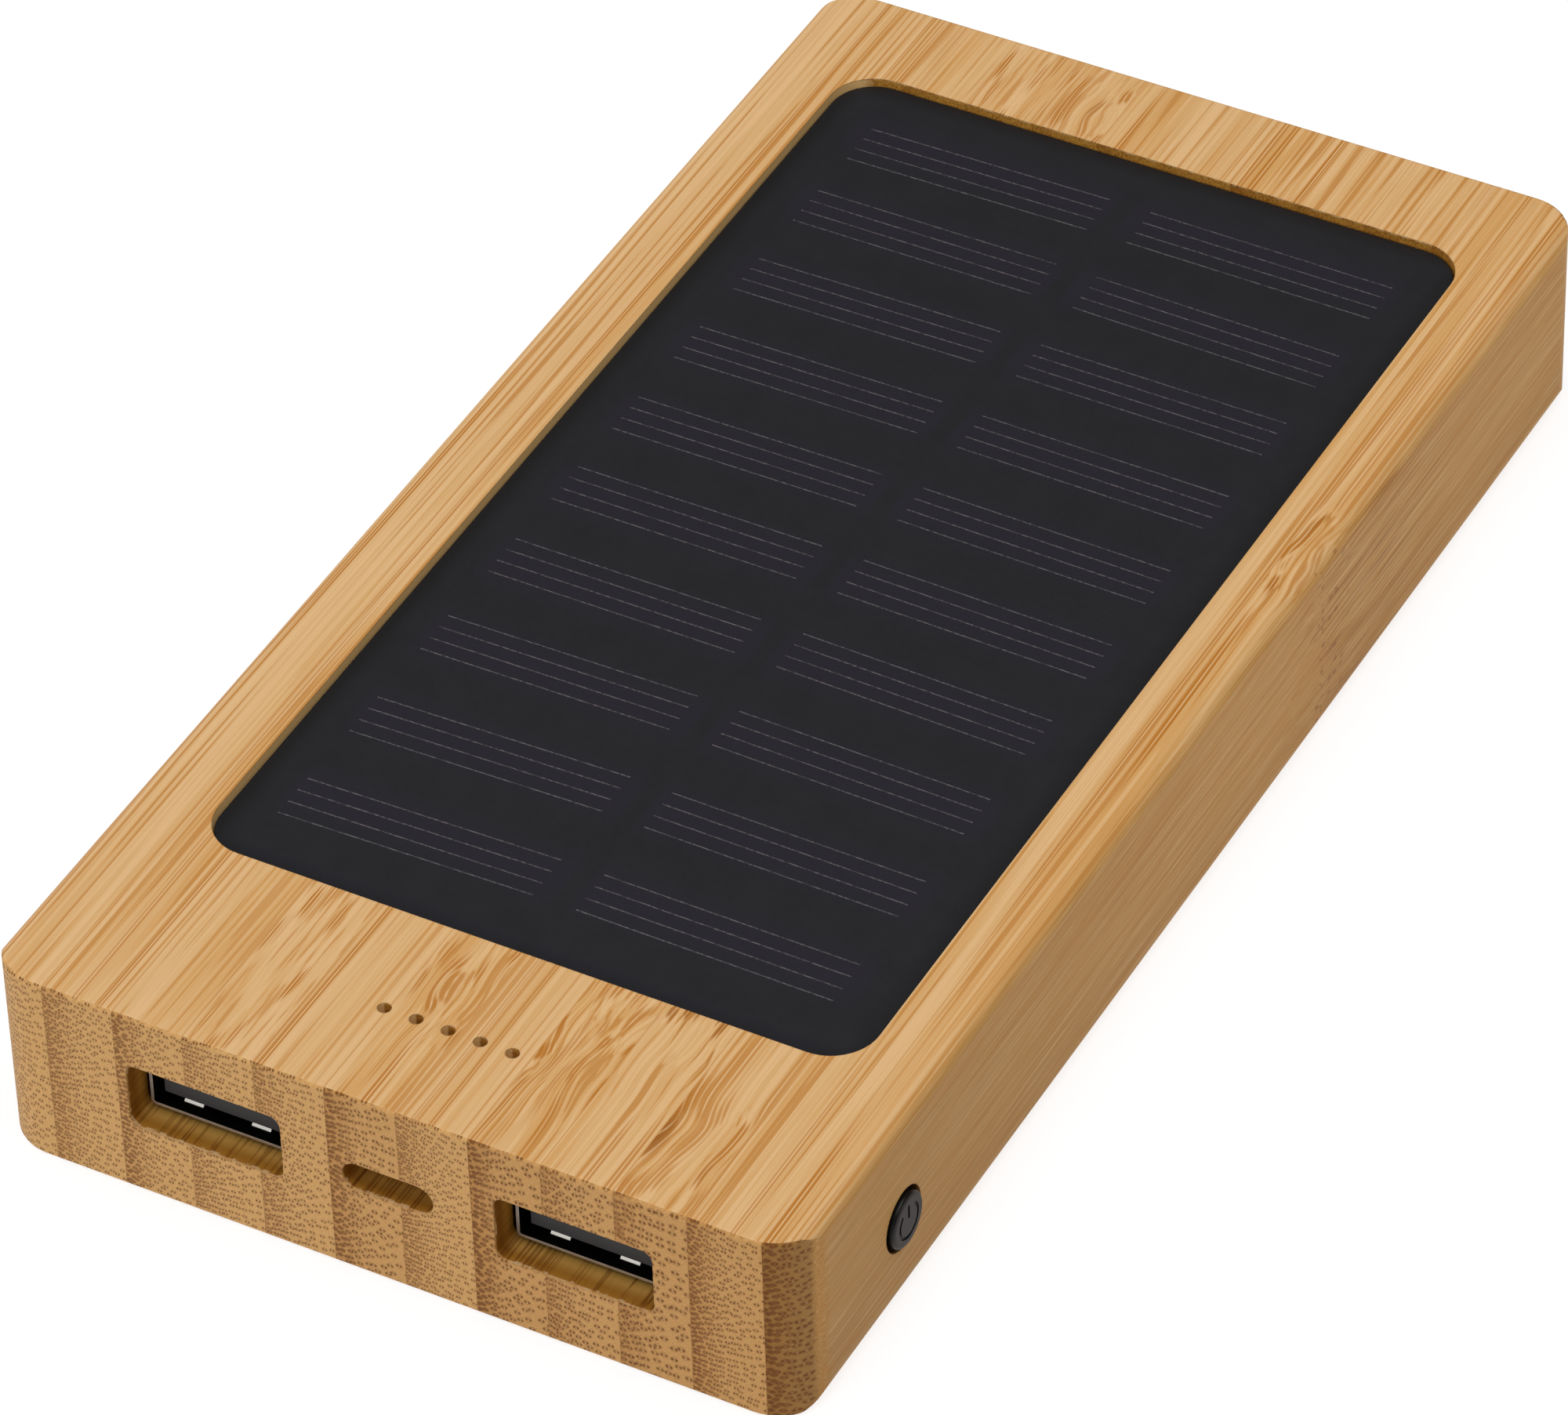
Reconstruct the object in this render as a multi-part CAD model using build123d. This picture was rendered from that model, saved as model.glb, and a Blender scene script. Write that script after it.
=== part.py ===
from build123d import *
from math import cos, radians, sin
import os

# A solar power bank in a milled bamboo case, in millimetres.
# Frame: X is the width, +X the side with the power button; Y is the length, with the sockets in
# the -Y end; Z is up, through the solar panel. The origin is the centre of the underside.

# ---------------------------------------------------------------- driving dimensions
WIDTH = 75.0
LENGTH = 147.0
HEIGHT = 19.2
CORNER_R = 4.7          # vertical corners of the case
LONG_EDGE_R = 1.5       # rolled top edges along the two long sides
BASE_EDGE_R = 2.2       # bottom edges along the two long sides
EDGE_BREAK = 0.4        # every other outside edge
WELD = 0.1              # overlap that makes two touching shapes one solid

SIDE_WALL = 4.0
FRONT_WALL = 3.0
REAR_WALL = 4.5
CAVITY_R = 3.0
CEILING_Z = 15.7        # underside of the bamboo top, seen from inside
COVER_T = 2.5           # bottom cover, let into a rebate
COVER_RIM_SIDE = 3.0    # bamboo left outside the rebate, along the long sides
COVER_RIM_END = 1.8     # and across the ends
COVER_CORNER_R = 2.9
COVER_GAP = 0.1
PILLAR_REACH = 3.6      # corner pillars round the cover screws

# pocket for the solar panel in the top face
POCKET_W = 61.3
POCKET_L = 115.7
POCKET_X = 0.6
POCKET_Y = 5.3
POCKET_R = 4.3
POCKET_FLOOR_Z = 16.7
PANEL_GAP = 0.2         # all round the panel
PANEL_TOP_Z = 18.45     # the panel lies below the rim of its pocket
TAPE_T = 0.15
TAPE_BORDER = 6.0
BACKING_T = 1.0
PAD_T = 0.1             # solder pads under the backing board
CELL_T = 0.2
CELL_W = 26.5
CELL_H = 10.4
CELL_COLUMNS = 2
CELL_ROWS = 10
CELL_PITCH_X = 27.7
CELL_PITCH_Y = 11.0
CELLS_X = 1.0           # middle of the field of cells
CELLS_Y = 5.05

# sockets in the front end
USB_X = 17.0
USB_CUT_W = 14.4
USB_CUT_H = 6.7
USB_CUT_Z = 10.5
USB_CUT_R = 1.0
USB_SHELL_W = 13.1
USB_SHELL_H = 5.7
USB_SHELL_L = 14.0
SHEET_T = 0.3           # drawn metal of the socket shells
USB_RECESS = 2.3        # shell mouths behind the front face
TONGUE_W = 11.1
TONGUE_T = 1.84
TONGUE_LIFT = 0.66      # above the floor of the shell
TONGUE_RECESS = 0.65    # behind the mouth of the shell
USB_PIN_OFFSETS = (-3.5, -1.0, 1.0, 3.5)
USB_PIN_W = 1.0
USB_PIN_T = 0.2
USB_PIN_RECESS = 1.6    # behind the mouth of the shell
USB_BLOCK_L = 4.3       # moulded block at the back of the shell
MOULD_FIT = 0.05        # round a moulding inside a shell
LEAF_OFFSETS = (-3.17, 3.17)
LEAF_W = 1.8
LEAF_ROOT = 1.1         # behind the mouth of the shell
LEAF_L = 4.9
LEAF_RISE = 0.6         # at most, and clear of the tongue
LEAF_GAP = 0.2          # of the window round a leaf spring
LEG_ROWS = (4.0, 10.0)  # solder legs of a shell, behind its mouth
LEG_HALF = 1.0
LEG_END = 0.4           # through the board

SLOT_W = 8.4
SLOT_H = 2.9
SLOT_Z = 10.45
USB_C_W = 8.94
USB_C_H = 3.16
USB_C_L = 8.0
USB_C_TONGUE_W = 6.68
USB_C_TONGUE_T = 0.7
USB_C_BLOCK_L = 3.0     # moulded block at the back of the shell
USB_C_PINS = 6          # on each face of the tongue
USB_C_PIN_PITCH = 0.9
USB_C_PIN_W = 0.3
USB_C_PIN_T = 0.08
USB_C_LEG_ROWS = (1.4, 6.2)
USB_C_LEG_HALF = 0.7

# circuit board, hung under the bamboo top by four screws
BOARD_T = 1.0
BOARD_TOP_Z = 14.6
BOARD_W = 65.2
BOARD_REAR_Y = -46.0
BOARD_STEP_Y = -62.4    # in front of this line the board is narrower
BOARD_NOSE_W = 51.6
BOARD_FRONT_GAP = 0.2
POST_R = 2.3            # posts that the board screws go into
BOARD_SCREWS = ((-7.5, -66.5), (7.5, -66.5), (-28.5, -56.0), (21.5, -54.6))
BOARD_SCREW_R = 1.0
BOARD_SCREW_DEPTH = 1.7  # past the underside of the bamboo top
BOARD_SCREW_HEAD = (1.8, 1.3)
PILOT_FIT = 0.05        # radial gap round every screw thread

# charge lights
LED_COUNT = 5
LED_PITCH = 2.95
LED_X = 0.2
LED_Y = -63.2
LED_HOLE_R = 0.6
LED_T = 0.6

# other parts on the board: places in plan, and sizes along X, Y and Z
RESISTOR_Y = LED_Y + 2.7
RESISTOR_SIZE = (0.8, 1.6, 0.44)
INDUCTOR_PLACES = ((0, -53.0),)
INDUCTOR_SIZE = (7.0, 7.0, 4.2)
IC_PLACES = ((-9.0, -50.5), (9.0, -50.5))
IC_SIZE = (5.0, 3.8, 1.4)
IC_STANDOFF = 0.1
IC_LEADS = 4            # on each side
IC_LEAD_PITCH = 1.27
IC_LEAD_SIZE = (0.4, 0.9, 0.8)
DIODE_PLACES = ((-13.0, -55.0), (13.0, -55.0))
DIODE_SIZE = (4.3, 2.6, 2.3)
CERAMIC_PLACES = [(x, -47.3) for x in (-6.0, -3.0, 0.0, 3.0, 6.0)]
CERAMIC_SIZE = (1.25, 2.0, 1.25)
CAN_PLACES = ((-21.0, -49.6), (21.0, -49.6))
CAN_BASE = (4.9, 4.9, 0.8)
CAN_R = 2.2
CAN_H = 5.4

# power button and its switch, both on one axis along X
BUTTON_Y = -56.45
BUTTON_Z = 8.7
BUTTON_R = 2.55
BUTTON_HOLE_R = 2.95
BUTTON_PROUD = 0.5
BUTTON_FLANGE_R = 3.7
BUTTON_FLANGE_T = 1.0
BUTTON_REST_GAP = 0.05  # between the flange and the wall that stops it
BUTTON_RIM_R = 0.4
SYMBOL_R = 1.53         # ring of the power symbol, along the middle of its stroke
SYMBOL_STROKE = 0.3
SYMBOL_GAP = 40         # degrees each side of the top
SYMBOL_DEPTH = 0.15
STEM_R = 1.7
STEM_SOCKET = 0.95      # how far the stem goes into the button, past the cavity wall
SWITCH_SIZE = 6.2
SWITCH_X = 25.0         # back of the switch
SWITCH_DEPTH = 3.6

# battery
CELL_PACK_W = 62.0
CELL_PACK_T = 10.0
CELL_PACK_Y = (-39.5, 61.0)
CELL_PACK_Z = 3.9
TERRACE_L = 6.0
TERRACE_T = 0.5

# screws that hold the bottom cover
COVER_SCREWS = ((-30.0, -67.0), (30.0, -67.0), (-30.0, 65.2), (30.0, 65.2))
COVER_SCREW_R = 1.1
COVER_SCREW_L = 10.6
COVER_SCREW_POINT = 1.4
COVER_HEAD_R = 2.3
COVER_HEAD_DROP = 0.1   # below the face of the cover

# ---------------------------------------------------------------- derived places
HALF_W = WIDTH / 2
HALF_L = LENGTH / 2
CAVITY_X = HALF_W - SIDE_WALL
CAVITY_Y = (-HALF_L + FRONT_WALL, HALF_L - REAR_WALL)
BOARD_Z = BOARD_TOP_Z - BOARD_T                      # underside, where the sockets hang
USB_SHELL_Y = -HALF_L + USB_RECESS
USB_SHELL_Z = BOARD_Z - USB_SHELL_H
USB_FLOOR_Z = USB_SHELL_Z + SHEET_T
LED_XS = [LED_X + (index - (LED_COUNT - 1) / 2) * LED_PITCH for index in range(LED_COUNT)]
USB_C_Y = CAVITY_Y[0] + BOARD_FRONT_GAP
BACKING_Z = POCKET_FLOOR_Z + TAPE_T
CELL_Z = BACKING_Z + BACKING_T
LEAD_HOLES = ((POCKET_X - 3.0, -44.0), (POCKET_X + 3.0, -44.0))
LEAD_HOLE_R = 1.2
SPINE = Location((0, BUTTON_Y, BUTTON_Z), (0, 90, 0))    # its Z runs outwards along +X


# ---------------------------------------------------------------- small helpers
def block(x, y, z):
    """A box between two corners, given as three (low, high) pairs."""
    size = [high - low for low, high in (x, y, z)]
    middle = [(high + low) / 2 for low, high in (x, y, z)]
    return Pos(*middle) * Box(*size)


def slab(width, length, radius, low_z, high_z, x=0.0, y=0.0):
    """A plate with rounded corners in plan."""
    return Pos(x, y, low_z) * extrude(RectangleRounded(width, length, radius), high_z - low_z)


def post(radius, x, y, low_z, high_z):
    """An upright round bar or hole."""
    return Pos(x, y, (low_z + high_z) / 2) * Cylinder(radius, high_z - low_z)


def along_x(radius, low_x, high_x):
    """A round bar or hole on the axis of the power button."""
    return SPINE * Pos(0, 0, (low_x + high_x) / 2) * Cylinder(radius, high_x - low_x)


def front_prism(sketch, x, z, low_y, high_y):
    """A shape drawn on the front face (X to the right, Z up), from low_y to high_y."""
    plane = Plane(origin=(x, high_y, z), x_dir=(1, 0, 0), z_dir=(0, -1, 0))
    return extrude(plane * sketch, high_y - low_y)


def wire_lead(points, bend_r, radius):
    """An insulated lead along straight runs joined by tangent bends."""
    path = FilletPolyline(*points, radius=bend_r)
    return sweep(Plane(origin=path @ 0, z_dir=path % 0) * Circle(radius), path=path)


def fused(shapes):
    """One solid from several that touch or overlap."""
    shapes = list(shapes)
    return shapes[0].fuse(*shapes[1:]) if len(shapes) > 1 else shapes[0]


# ---------------------------------------------------------------- case
def case_block():
    plan = extrude(RectangleRounded(WIDTH, LENGTH, CORNER_R), HEIGHT)
    rims = plan.edges().group_by(Axis.Z)
    plan = fillet(rims[0] + rims[-1], EDGE_BREAK)
    section = Rectangle(WIDTH, HEIGHT)
    section = fillet(section.vertices().group_by(Axis.Y)[0], BASE_EDGE_R)
    section = fillet(section.vertices().group_by(Axis.Y)[-1], LONG_EDGE_R)
    bar = extrude(Plane.XZ * Pos(0, HEIGHT / 2) * section, HALF_L + 1, both=True)
    return plan & bar


def cavity():
    front, rear = CAVITY_Y
    room = slab(2 * CAVITY_X, rear - front, CAVITY_R, 0, CEILING_Z, y=(front + rear) / 2)
    for x, y in COVER_SCREWS:
        side = 1 if x > 0 else -1
        end = 1 if y > 0 else -1
        xs = sorted((x - side * PILLAR_REACH, side * (CAVITY_X + 1)))
        ys = sorted((y - end * PILLAR_REACH, end * HALF_L))
        pillar = block(xs, ys, (0, CEILING_Z))
        inner = pillar.edges().filter_by(Axis.Z).sort_by_distance((0, 0, CEILING_Z / 2))[0]
        room -= fillet(inner, PILLAR_REACH - 1)
    return room


def bamboo_body():
    body = case_block() - cavity()
    for x, y in BOARD_SCREWS:
        body += post(POST_R, x, y, BOARD_TOP_Z, CEILING_Z + WELD)
        pilot_top = CEILING_Z + BOARD_SCREW_DEPTH + 2 * WELD
        body -= post(BOARD_SCREW_R + PILOT_FIT, x, y, BOARD_TOP_Z, pilot_top)
    rebate = (WIDTH - 2 * COVER_RIM_SIDE, LENGTH - 2 * COVER_RIM_END)
    body -= slab(*rebate, COVER_CORNER_R, 0, COVER_T)
    body -= slab(POCKET_W, POCKET_L, POCKET_R, POCKET_FLOOR_Z, HEIGHT, POCKET_X, POCKET_Y)
    for x, y in COVER_SCREWS:
        body -= post(COVER_SCREW_R + PILOT_FIT, x, y, COVER_T, COVER_SCREW_L + 0.9)
    for x, y in LEAD_HOLES:
        body -= post(LEAD_HOLE_R, x, y, CEILING_Z, POCKET_FLOOR_Z)
    for x in LED_XS:
        body -= post(LED_HOLE_R, x, LED_Y, CEILING_Z, HEIGHT)
    for x in (-USB_X, USB_X):
        cut = RectangleRounded(USB_CUT_W, USB_CUT_H, USB_CUT_R)
        body -= front_prism(cut, x, USB_CUT_Z, -HALF_L, CAVITY_Y[0])
    body -= front_prism(SlotOverall(SLOT_W, SLOT_H), 0, SLOT_Z, -HALF_L, CAVITY_Y[0])
    body -= along_x(BUTTON_HOLE_R, CAVITY_X, HALF_W)
    return body


def bamboo_bottom_cover():
    width = WIDTH - 2 * (COVER_RIM_SIDE + COVER_GAP)
    length = LENGTH - 2 * (COVER_RIM_END + COVER_GAP)
    cover = slab(width, length, COVER_CORNER_R - COVER_GAP, 0, COVER_T)
    sink = COVER_HEAD_R + 0.2
    for x, y in COVER_SCREWS:
        cover -= post(COVER_SCREW_R + 0.25, x, y, 0, COVER_T)
        cover -= Pos(x, y, sink / 2) * Cone(sink, 0.01, sink)
    return cover


def cross_recess(size, depth):
    """The cutter for a cross drive, with its top at the origin and pointing down."""
    bars = [Pos(0, 0, -depth / 2) * Box(size, size / 4, depth)]
    bars.append(Rot(0, 0, 90) * bars[0])
    return fused(bars)


def cover_screw():
    """A countersunk wood screw, its head at z = 0 and its point up."""
    head_h = COVER_HEAD_R - COVER_SCREW_R
    point_z = COVER_SCREW_L - COVER_SCREW_POINT
    head = Pos(0, 0, head_h / 2) * Cone(COVER_HEAD_R, COVER_SCREW_R, head_h)
    shank = post(COVER_SCREW_R, 0, 0, head_h, point_z)
    point = Cone(COVER_SCREW_R, 0.2, COVER_SCREW_POINT)
    point = Pos(0, 0, point_z + COVER_SCREW_POINT / 2) * point
    recess = Rot(180, 0, 0) * cross_recess(2.6, 0.9)
    return fused([head, shank, point]) - recess


def cover_screws():
    return [Pos(x, y, COVER_HEAD_DROP) * cover_screw() for x, y in COVER_SCREWS]


# ---------------------------------------------------------------- solar panel
def panel_slab(low_z, high_z, inset=0.0):
    edge = PANEL_GAP + inset
    radius = max(POCKET_R - edge, 1.0)
    size = (POCKET_W - 2 * edge, POCKET_L - 2 * edge)
    return slab(*size, radius, low_z, high_z, POCKET_X, POCKET_Y)


def solar_cells():
    cells = []
    for column in range(CELL_COLUMNS):
        for row in range(CELL_ROWS):
            x = CELLS_X + (column - (CELL_COLUMNS - 1) / 2) * CELL_PITCH_X
            y = CELLS_Y + (row - (CELL_ROWS - 1) / 2) * CELL_PITCH_Y
            cells.append(Pos(x, y, CELL_Z + CELL_T / 2) * Box(CELL_W, CELL_H, CELL_T))
    return cells


def solar_backing_board():
    return panel_slab(BACKING_Z, CELL_Z)


def solar_front_sheet():
    """Clear resin and film cast over the cells, down to the backing board."""
    return panel_slab(CELL_Z, PANEL_TOP_Z).cut(*solar_cells())


def solar_adhesive_frame():
    return panel_slab(POCKET_FLOOR_Z, BACKING_Z) - panel_slab(POCKET_FLOOR_Z, BACKING_Z, TAPE_BORDER)


def solar_solder_pads():
    return [post(1.0, x, y, BACKING_Z - PAD_T, BACKING_Z) for x, y in LEAD_HOLES]


def solar_lead(hole):
    x, y = hole
    radius = 0.4
    run_z = BOARD_TOP_Z + radius
    points = [(x, y, BACKING_Z - PAD_T), (x, y, run_z), (x, y - 4.2, run_z)]
    return wire_lead(points, 1.0, radius)


# ---------------------------------------------------------------- circuit board
def main_circuit_board():
    front_y = CAVITY_Y[0] + BOARD_FRONT_GAP
    half = BOARD_W / 2
    nose = BOARD_NOSE_W / 2
    wide = block((-half, half), (BOARD_STEP_Y, BOARD_REAR_Y), (BOARD_Z, BOARD_TOP_Z))
    narrow = block((-nose, nose), (front_y, BOARD_STEP_Y), (BOARD_Z, BOARD_TOP_Z))
    board = wide + narrow
    for x, y in BOARD_SCREWS:
        board -= post(BOARD_SCREW_R + 0.15, x, y, BOARD_Z, BOARD_TOP_Z)
    for socket_x in (-USB_X, USB_X):
        for x, y in usb_leg_places(socket_x):
            sides = (x - SHEET_T, x + SHEET_T), (y - LEG_HALF - 0.2, y + LEG_HALF + 0.2)
            board -= block(*sides, (BOARD_Z, BOARD_TOP_Z))
    return board


def board_screws():
    """Pan-head screws, driven upwards through the board into the posts."""
    screws = []
    head_r, head_h = BOARD_SCREW_HEAD
    for x, y in BOARD_SCREWS:
        head = post(head_r, x, y, BOARD_Z - head_h, BOARD_Z)
        head = fillet(head.edges().group_by(Axis.Z)[0], head_h / 3)
        shank = post(BOARD_SCREW_R, x, y, BOARD_Z, CEILING_Z + BOARD_SCREW_DEPTH)
        recess = Pos(x, y, BOARD_Z - head_h) * Rot(180, 0, 0) * cross_recess(2.0, 0.7)
        screws.append(fused([head, shank]) - recess)
    return screws


def under_board(places, size):
    """Parts soldered under the board: boxes of one size at the given places."""
    width, length, height = size
    middle_z = BOARD_Z - height / 2
    return [Pos(x, y, middle_z) * Box(width, length, height) for x, y in places]


def charge_leds():
    layer = LED_T / 2
    lights = []
    for x in LED_XS:
        base = Pos(x, LED_Y, BOARD_TOP_Z + layer / 2) * Box(1.6, 0.8, layer)
        lens = Pos(x, LED_Y, BOARD_TOP_Z + 1.5 * layer) * Box(1.0, 0.8, layer)
        lights.append(fused([base, lens]))
    return lights


def led_resistors():
    width, length, height = RESISTOR_SIZE
    middle_z = BOARD_TOP_Z + height / 2
    return [Pos(x, RESISTOR_Y, middle_z) * Box(width, length, height) for x in LED_XS]


def boost_inductor():
    core = under_board(INDUCTOR_PLACES, INDUCTOR_SIZE)[0]
    return fillet(core.edges().filter_by(Axis.Z), 1.2)


def power_ics():
    chips = []
    for chip in under_board(IC_PLACES, IC_SIZE):
        chips.append(Pos(0, 0, -IC_STANDOFF) * chamfer(chip.edges().group_by(Axis.Z)[0], 0.2))
    return chips


def power_ic_leads():
    """Gull-wing leads along the two long sides of each chip, drawn as short bars."""
    reach = (IC_SIZE[1] + IC_LEAD_SIZE[1]) / 2
    leads = []
    for x, y in IC_PLACES:
        for side in (-1, 1):
            for index in range(IC_LEADS):
                place = (x + (index - (IC_LEADS - 1) / 2) * IC_LEAD_PITCH, y + side * reach)
                leads += under_board([place], IC_LEAD_SIZE)
    return leads


def schottky_diodes():
    return under_board(DIODE_PLACES, DIODE_SIZE)


def ceramic_capacitors():
    return under_board(CERAMIC_PLACES, CERAMIC_SIZE)


def output_capacitors():
    """Round aluminium cans on square bases, one for each USB-A socket."""
    radius, low_z, base_h = CAN_R, BOARD_Z - CAN_H, CAN_BASE[2]
    cans = []
    for x, y in CAN_PLACES:
        base = under_board([(x, y)], CAN_BASE)[0]
        can = post(radius, x, y, low_z, BOARD_Z - base_h)
        cans.append(fused([base, fillet(can.edges().group_by(Axis.Z)[0], 0.3)]))
    return cans


# ---------------------------------------------------------------- USB-A sockets
def usb_leg_places(socket_x):
    """Where the four legs of a socket's shell pass through the board."""
    side_x = (USB_SHELL_W - SHEET_T) / 2
    rows = [USB_SHELL_Y + back for back in LEG_ROWS]
    return [(socket_x + sign * side_x, y) for sign in (-1, 1) for y in rows]


def leaf_spring():
    """One tongue cut from the sheet and bent inwards: a steep ramp at its root, y = 0, then level."""
    top = [(-WELD, 0.0), (0.42, 0.55), (3.4, LEAF_RISE), (LEAF_L, 0.15)]
    thickness = 0.22
    under = [(y, z - thickness) for y, z in reversed(top)]
    outline = make_face(Polyline(*top, *under, close=True))
    return extrude(Plane.YZ * outline, LEAF_W / 2, both=True)


def usb_a_shell(socket_x):
    rear_y = USB_SHELL_Y + USB_SHELL_L
    middle_z = USB_SHELL_Z + USB_SHELL_H / 2
    inner = (USB_SHELL_W - 2 * SHEET_T, USB_SHELL_H - 2 * SHEET_T)
    outside = RectangleRounded(USB_SHELL_W, USB_SHELL_H, 0.5)
    inside = RectangleRounded(*inner, 0.2)
    shell = front_prism(outside - inside, socket_x, middle_z, USB_SHELL_Y, rear_y)
    root_y = USB_SHELL_Y + LEAF_ROOT
    reach = LEAF_W / 2 + LEAF_GAP
    for offset in LEAF_OFFSETS:
        x = socket_x + offset
        window = (x - reach, x + reach), (root_y, root_y + LEAF_L + 2 * LEAF_GAP)
        shell -= block(*window, (USB_SHELL_Z, BOARD_Z))
        leaf = Pos(x, root_y, USB_FLOOR_Z) * leaf_spring()
        shell += leaf
        shell += leaf.mirror(Plane.XY.offset(middle_z))
    for x, y in usb_leg_places(socket_x):
        sides = (x - SHEET_T / 2, x + SHEET_T / 2), (y - LEG_HALF, y + LEG_HALF)
        shell += block(*sides, (middle_z, BOARD_TOP_Z + LEG_END))
    return shell


def usb_a_pins(socket_x):
    pins = []
    top_z = USB_FLOOR_Z + TONGUE_LIFT + TONGUE_T
    rear_y = USB_SHELL_Y + USB_SHELL_L
    for offset in USB_PIN_OFFSETS:
        x = (socket_x + offset - USB_PIN_W / 2, socket_x + offset + USB_PIN_W / 2)
        blade_y = (USB_SHELL_Y + USB_PIN_RECESS, rear_y + USB_PIN_T)
        blade = block(x, blade_y, (top_z, top_z + USB_PIN_T))
        tail = block(x, (rear_y, rear_y + USB_PIN_T), (top_z, BOARD_Z))
        pins.append(fused([blade, tail]))
    return pins


def usb_a_insulator(socket_x):
    """The tongue, and the moulded block that carries it at the back of the shell."""
    rear_y = USB_SHELL_Y + USB_SHELL_L
    block_y = rear_y - USB_BLOCK_L
    low_z = USB_FLOOR_Z + TONGUE_LIFT
    half = TONGUE_W / 2
    tongue_y = (USB_SHELL_Y + TONGUE_RECESS, block_y + WELD)
    tongue = block((socket_x - half, socket_x + half), tongue_y, (low_z, low_z + TONGUE_T))
    front_edges = tongue.edges().filter_by(Axis.X).group_by(Axis.Y)[0]
    tongue = chamfer(front_edges, 0.25)
    rear_half = USB_SHELL_W / 2 - SHEET_T - MOULD_FIT
    rear_z = (USB_FLOOR_Z + MOULD_FIT, BOARD_Z - SHEET_T - MOULD_FIT)
    rear = block((socket_x - rear_half, socket_x + rear_half), (block_y, rear_y), rear_z)
    return fused([tongue, rear]).cut(*usb_a_pins(socket_x))


# ---------------------------------------------------------------- USB-C socket
def usb_c_shell():
    rear_y = USB_C_Y + USB_C_L
    ring = SlotOverall(USB_C_W, USB_C_H) - SlotOverall(USB_C_W - 2 * SHEET_T, USB_C_H - 2 * SHEET_T)
    shell = front_prism(ring, 0, SLOT_Z, USB_C_Y, rear_y)
    for side in (-1, 1):
        xs = sorted((side * USB_C_W / 2, side * (USB_C_W / 2 - SHEET_T)))
        for back in USB_C_LEG_ROWS:
            y = USB_C_Y + back
            shell += block(xs, (y - USB_C_LEG_HALF, y + USB_C_LEG_HALF), (SLOT_Z, BOARD_Z))
    return shell


def usb_c_pins():
    """Flat contacts on both faces of the tongue."""
    pins = []
    half_t = USB_C_TONGUE_T / 2
    ys = (USB_C_Y + 1.1, USB_C_Y + USB_C_L + 0.3)
    for index in range(USB_C_PINS):
        x = (index - (USB_C_PINS - 1) / 2) * USB_C_PIN_PITCH
        xs = (x - USB_C_PIN_W / 2, x + USB_C_PIN_W / 2)
        for low_z in (SLOT_Z + half_t, SLOT_Z - half_t - USB_C_PIN_T):
            pins.append(block(xs, ys, (low_z, low_z + USB_C_PIN_T)))
    return pins


def usb_c_insulator():
    rear_y = USB_C_Y + USB_C_L
    block_y = rear_y - USB_C_BLOCK_L
    half_w = USB_C_TONGUE_W / 2
    half_t = USB_C_TONGUE_T / 2
    tongue = block((-half_w, half_w), (USB_C_Y + 0.7, block_y + WELD), (SLOT_Z - half_t, SLOT_Z + half_t))
    rim = SHEET_T + MOULD_FIT
    filler = SlotOverall(USB_C_W - 2 * rim, USB_C_H - 2 * rim)
    rear = front_prism(filler, 0, SLOT_Z, block_y, rear_y)
    return fused([tongue, rear]).cut(*usb_c_pins())


def usb_c_riser():
    """Moulded block that holds the socket clear of the board, level with its slot."""
    top_of_shell = SLOT_Z + USB_C_H / 2
    return block((-2.8, 2.8), (USB_C_Y + 0.4, USB_C_Y + 7.6), (top_of_shell, BOARD_Z))


# ---------------------------------------------------------------- power button and switch
CHAMBER_X = (SWITCH_X + 0.6, SWITCH_X + 3.1)        # room for the dome inside the switch
CHAMBER_R = 2.5
STEM_FIT = 0.1


def tact_switch_body():
    half = SWITCH_SIZE / 2
    body = block((SWITCH_X, SWITCH_X + SWITCH_DEPTH), (BUTTON_Y - half, BUTTON_Y + half),
                 (BUTTON_Z - half, BUTTON_Z + half))
    body = chamfer(body.edges().filter_by(Axis.X), 0.4)
    body -= along_x(CHAMBER_R, *CHAMBER_X)
    return body - along_x(STEM_R + STEM_FIT, CHAMBER_X[1], SWITCH_X + SWITCH_DEPTH)


def tact_switch_dome():
    """Snap dome of spring steel, drawn as far down as a full press takes it."""
    cap = SPINE * Pos(0, 0, CHAMBER_X[0] + 0.15) * Cone(2.3, 1.1, 0.3)
    under = SPINE * Pos(0, 0, CHAMBER_X[0] + 0.05) * Cone(2.2, 1.0, 0.3)
    return cap - under


def tact_switch_stem():
    flange_x = (CHAMBER_X[1] - 1.1, CHAMBER_X[1] - STEM_FIT)
    flange = along_x(2.2, *flange_x)
    nose = along_x(0.6, CHAMBER_X[0] + 0.7, flange_x[0])
    stem = along_x(STEM_R, flange_x[1], CAVITY_X + STEM_SOCKET)
    return fused([flange, nose, stem])


def tact_switch_bracket():
    """Steel saddle behind the switch, with two side plates up to the board."""
    half = SWITCH_SIZE / 2 + 0.02
    back_x = (SWITCH_X - SHEET_T, SWITCH_X)
    plate_x = (back_x[0], SWITCH_X + 2.4)
    outer = (BUTTON_Y - half - SHEET_T, BUTTON_Y + half + SHEET_T)
    plate_z = (BUTTON_Z - 2.2, BOARD_Z)
    saddle = block(back_x, outer, plate_z)
    for low_y in (outer[0], outer[1] - SHEET_T):
        saddle += block(plate_x, (low_y, low_y + SHEET_T), plate_z)
    return saddle


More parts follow.
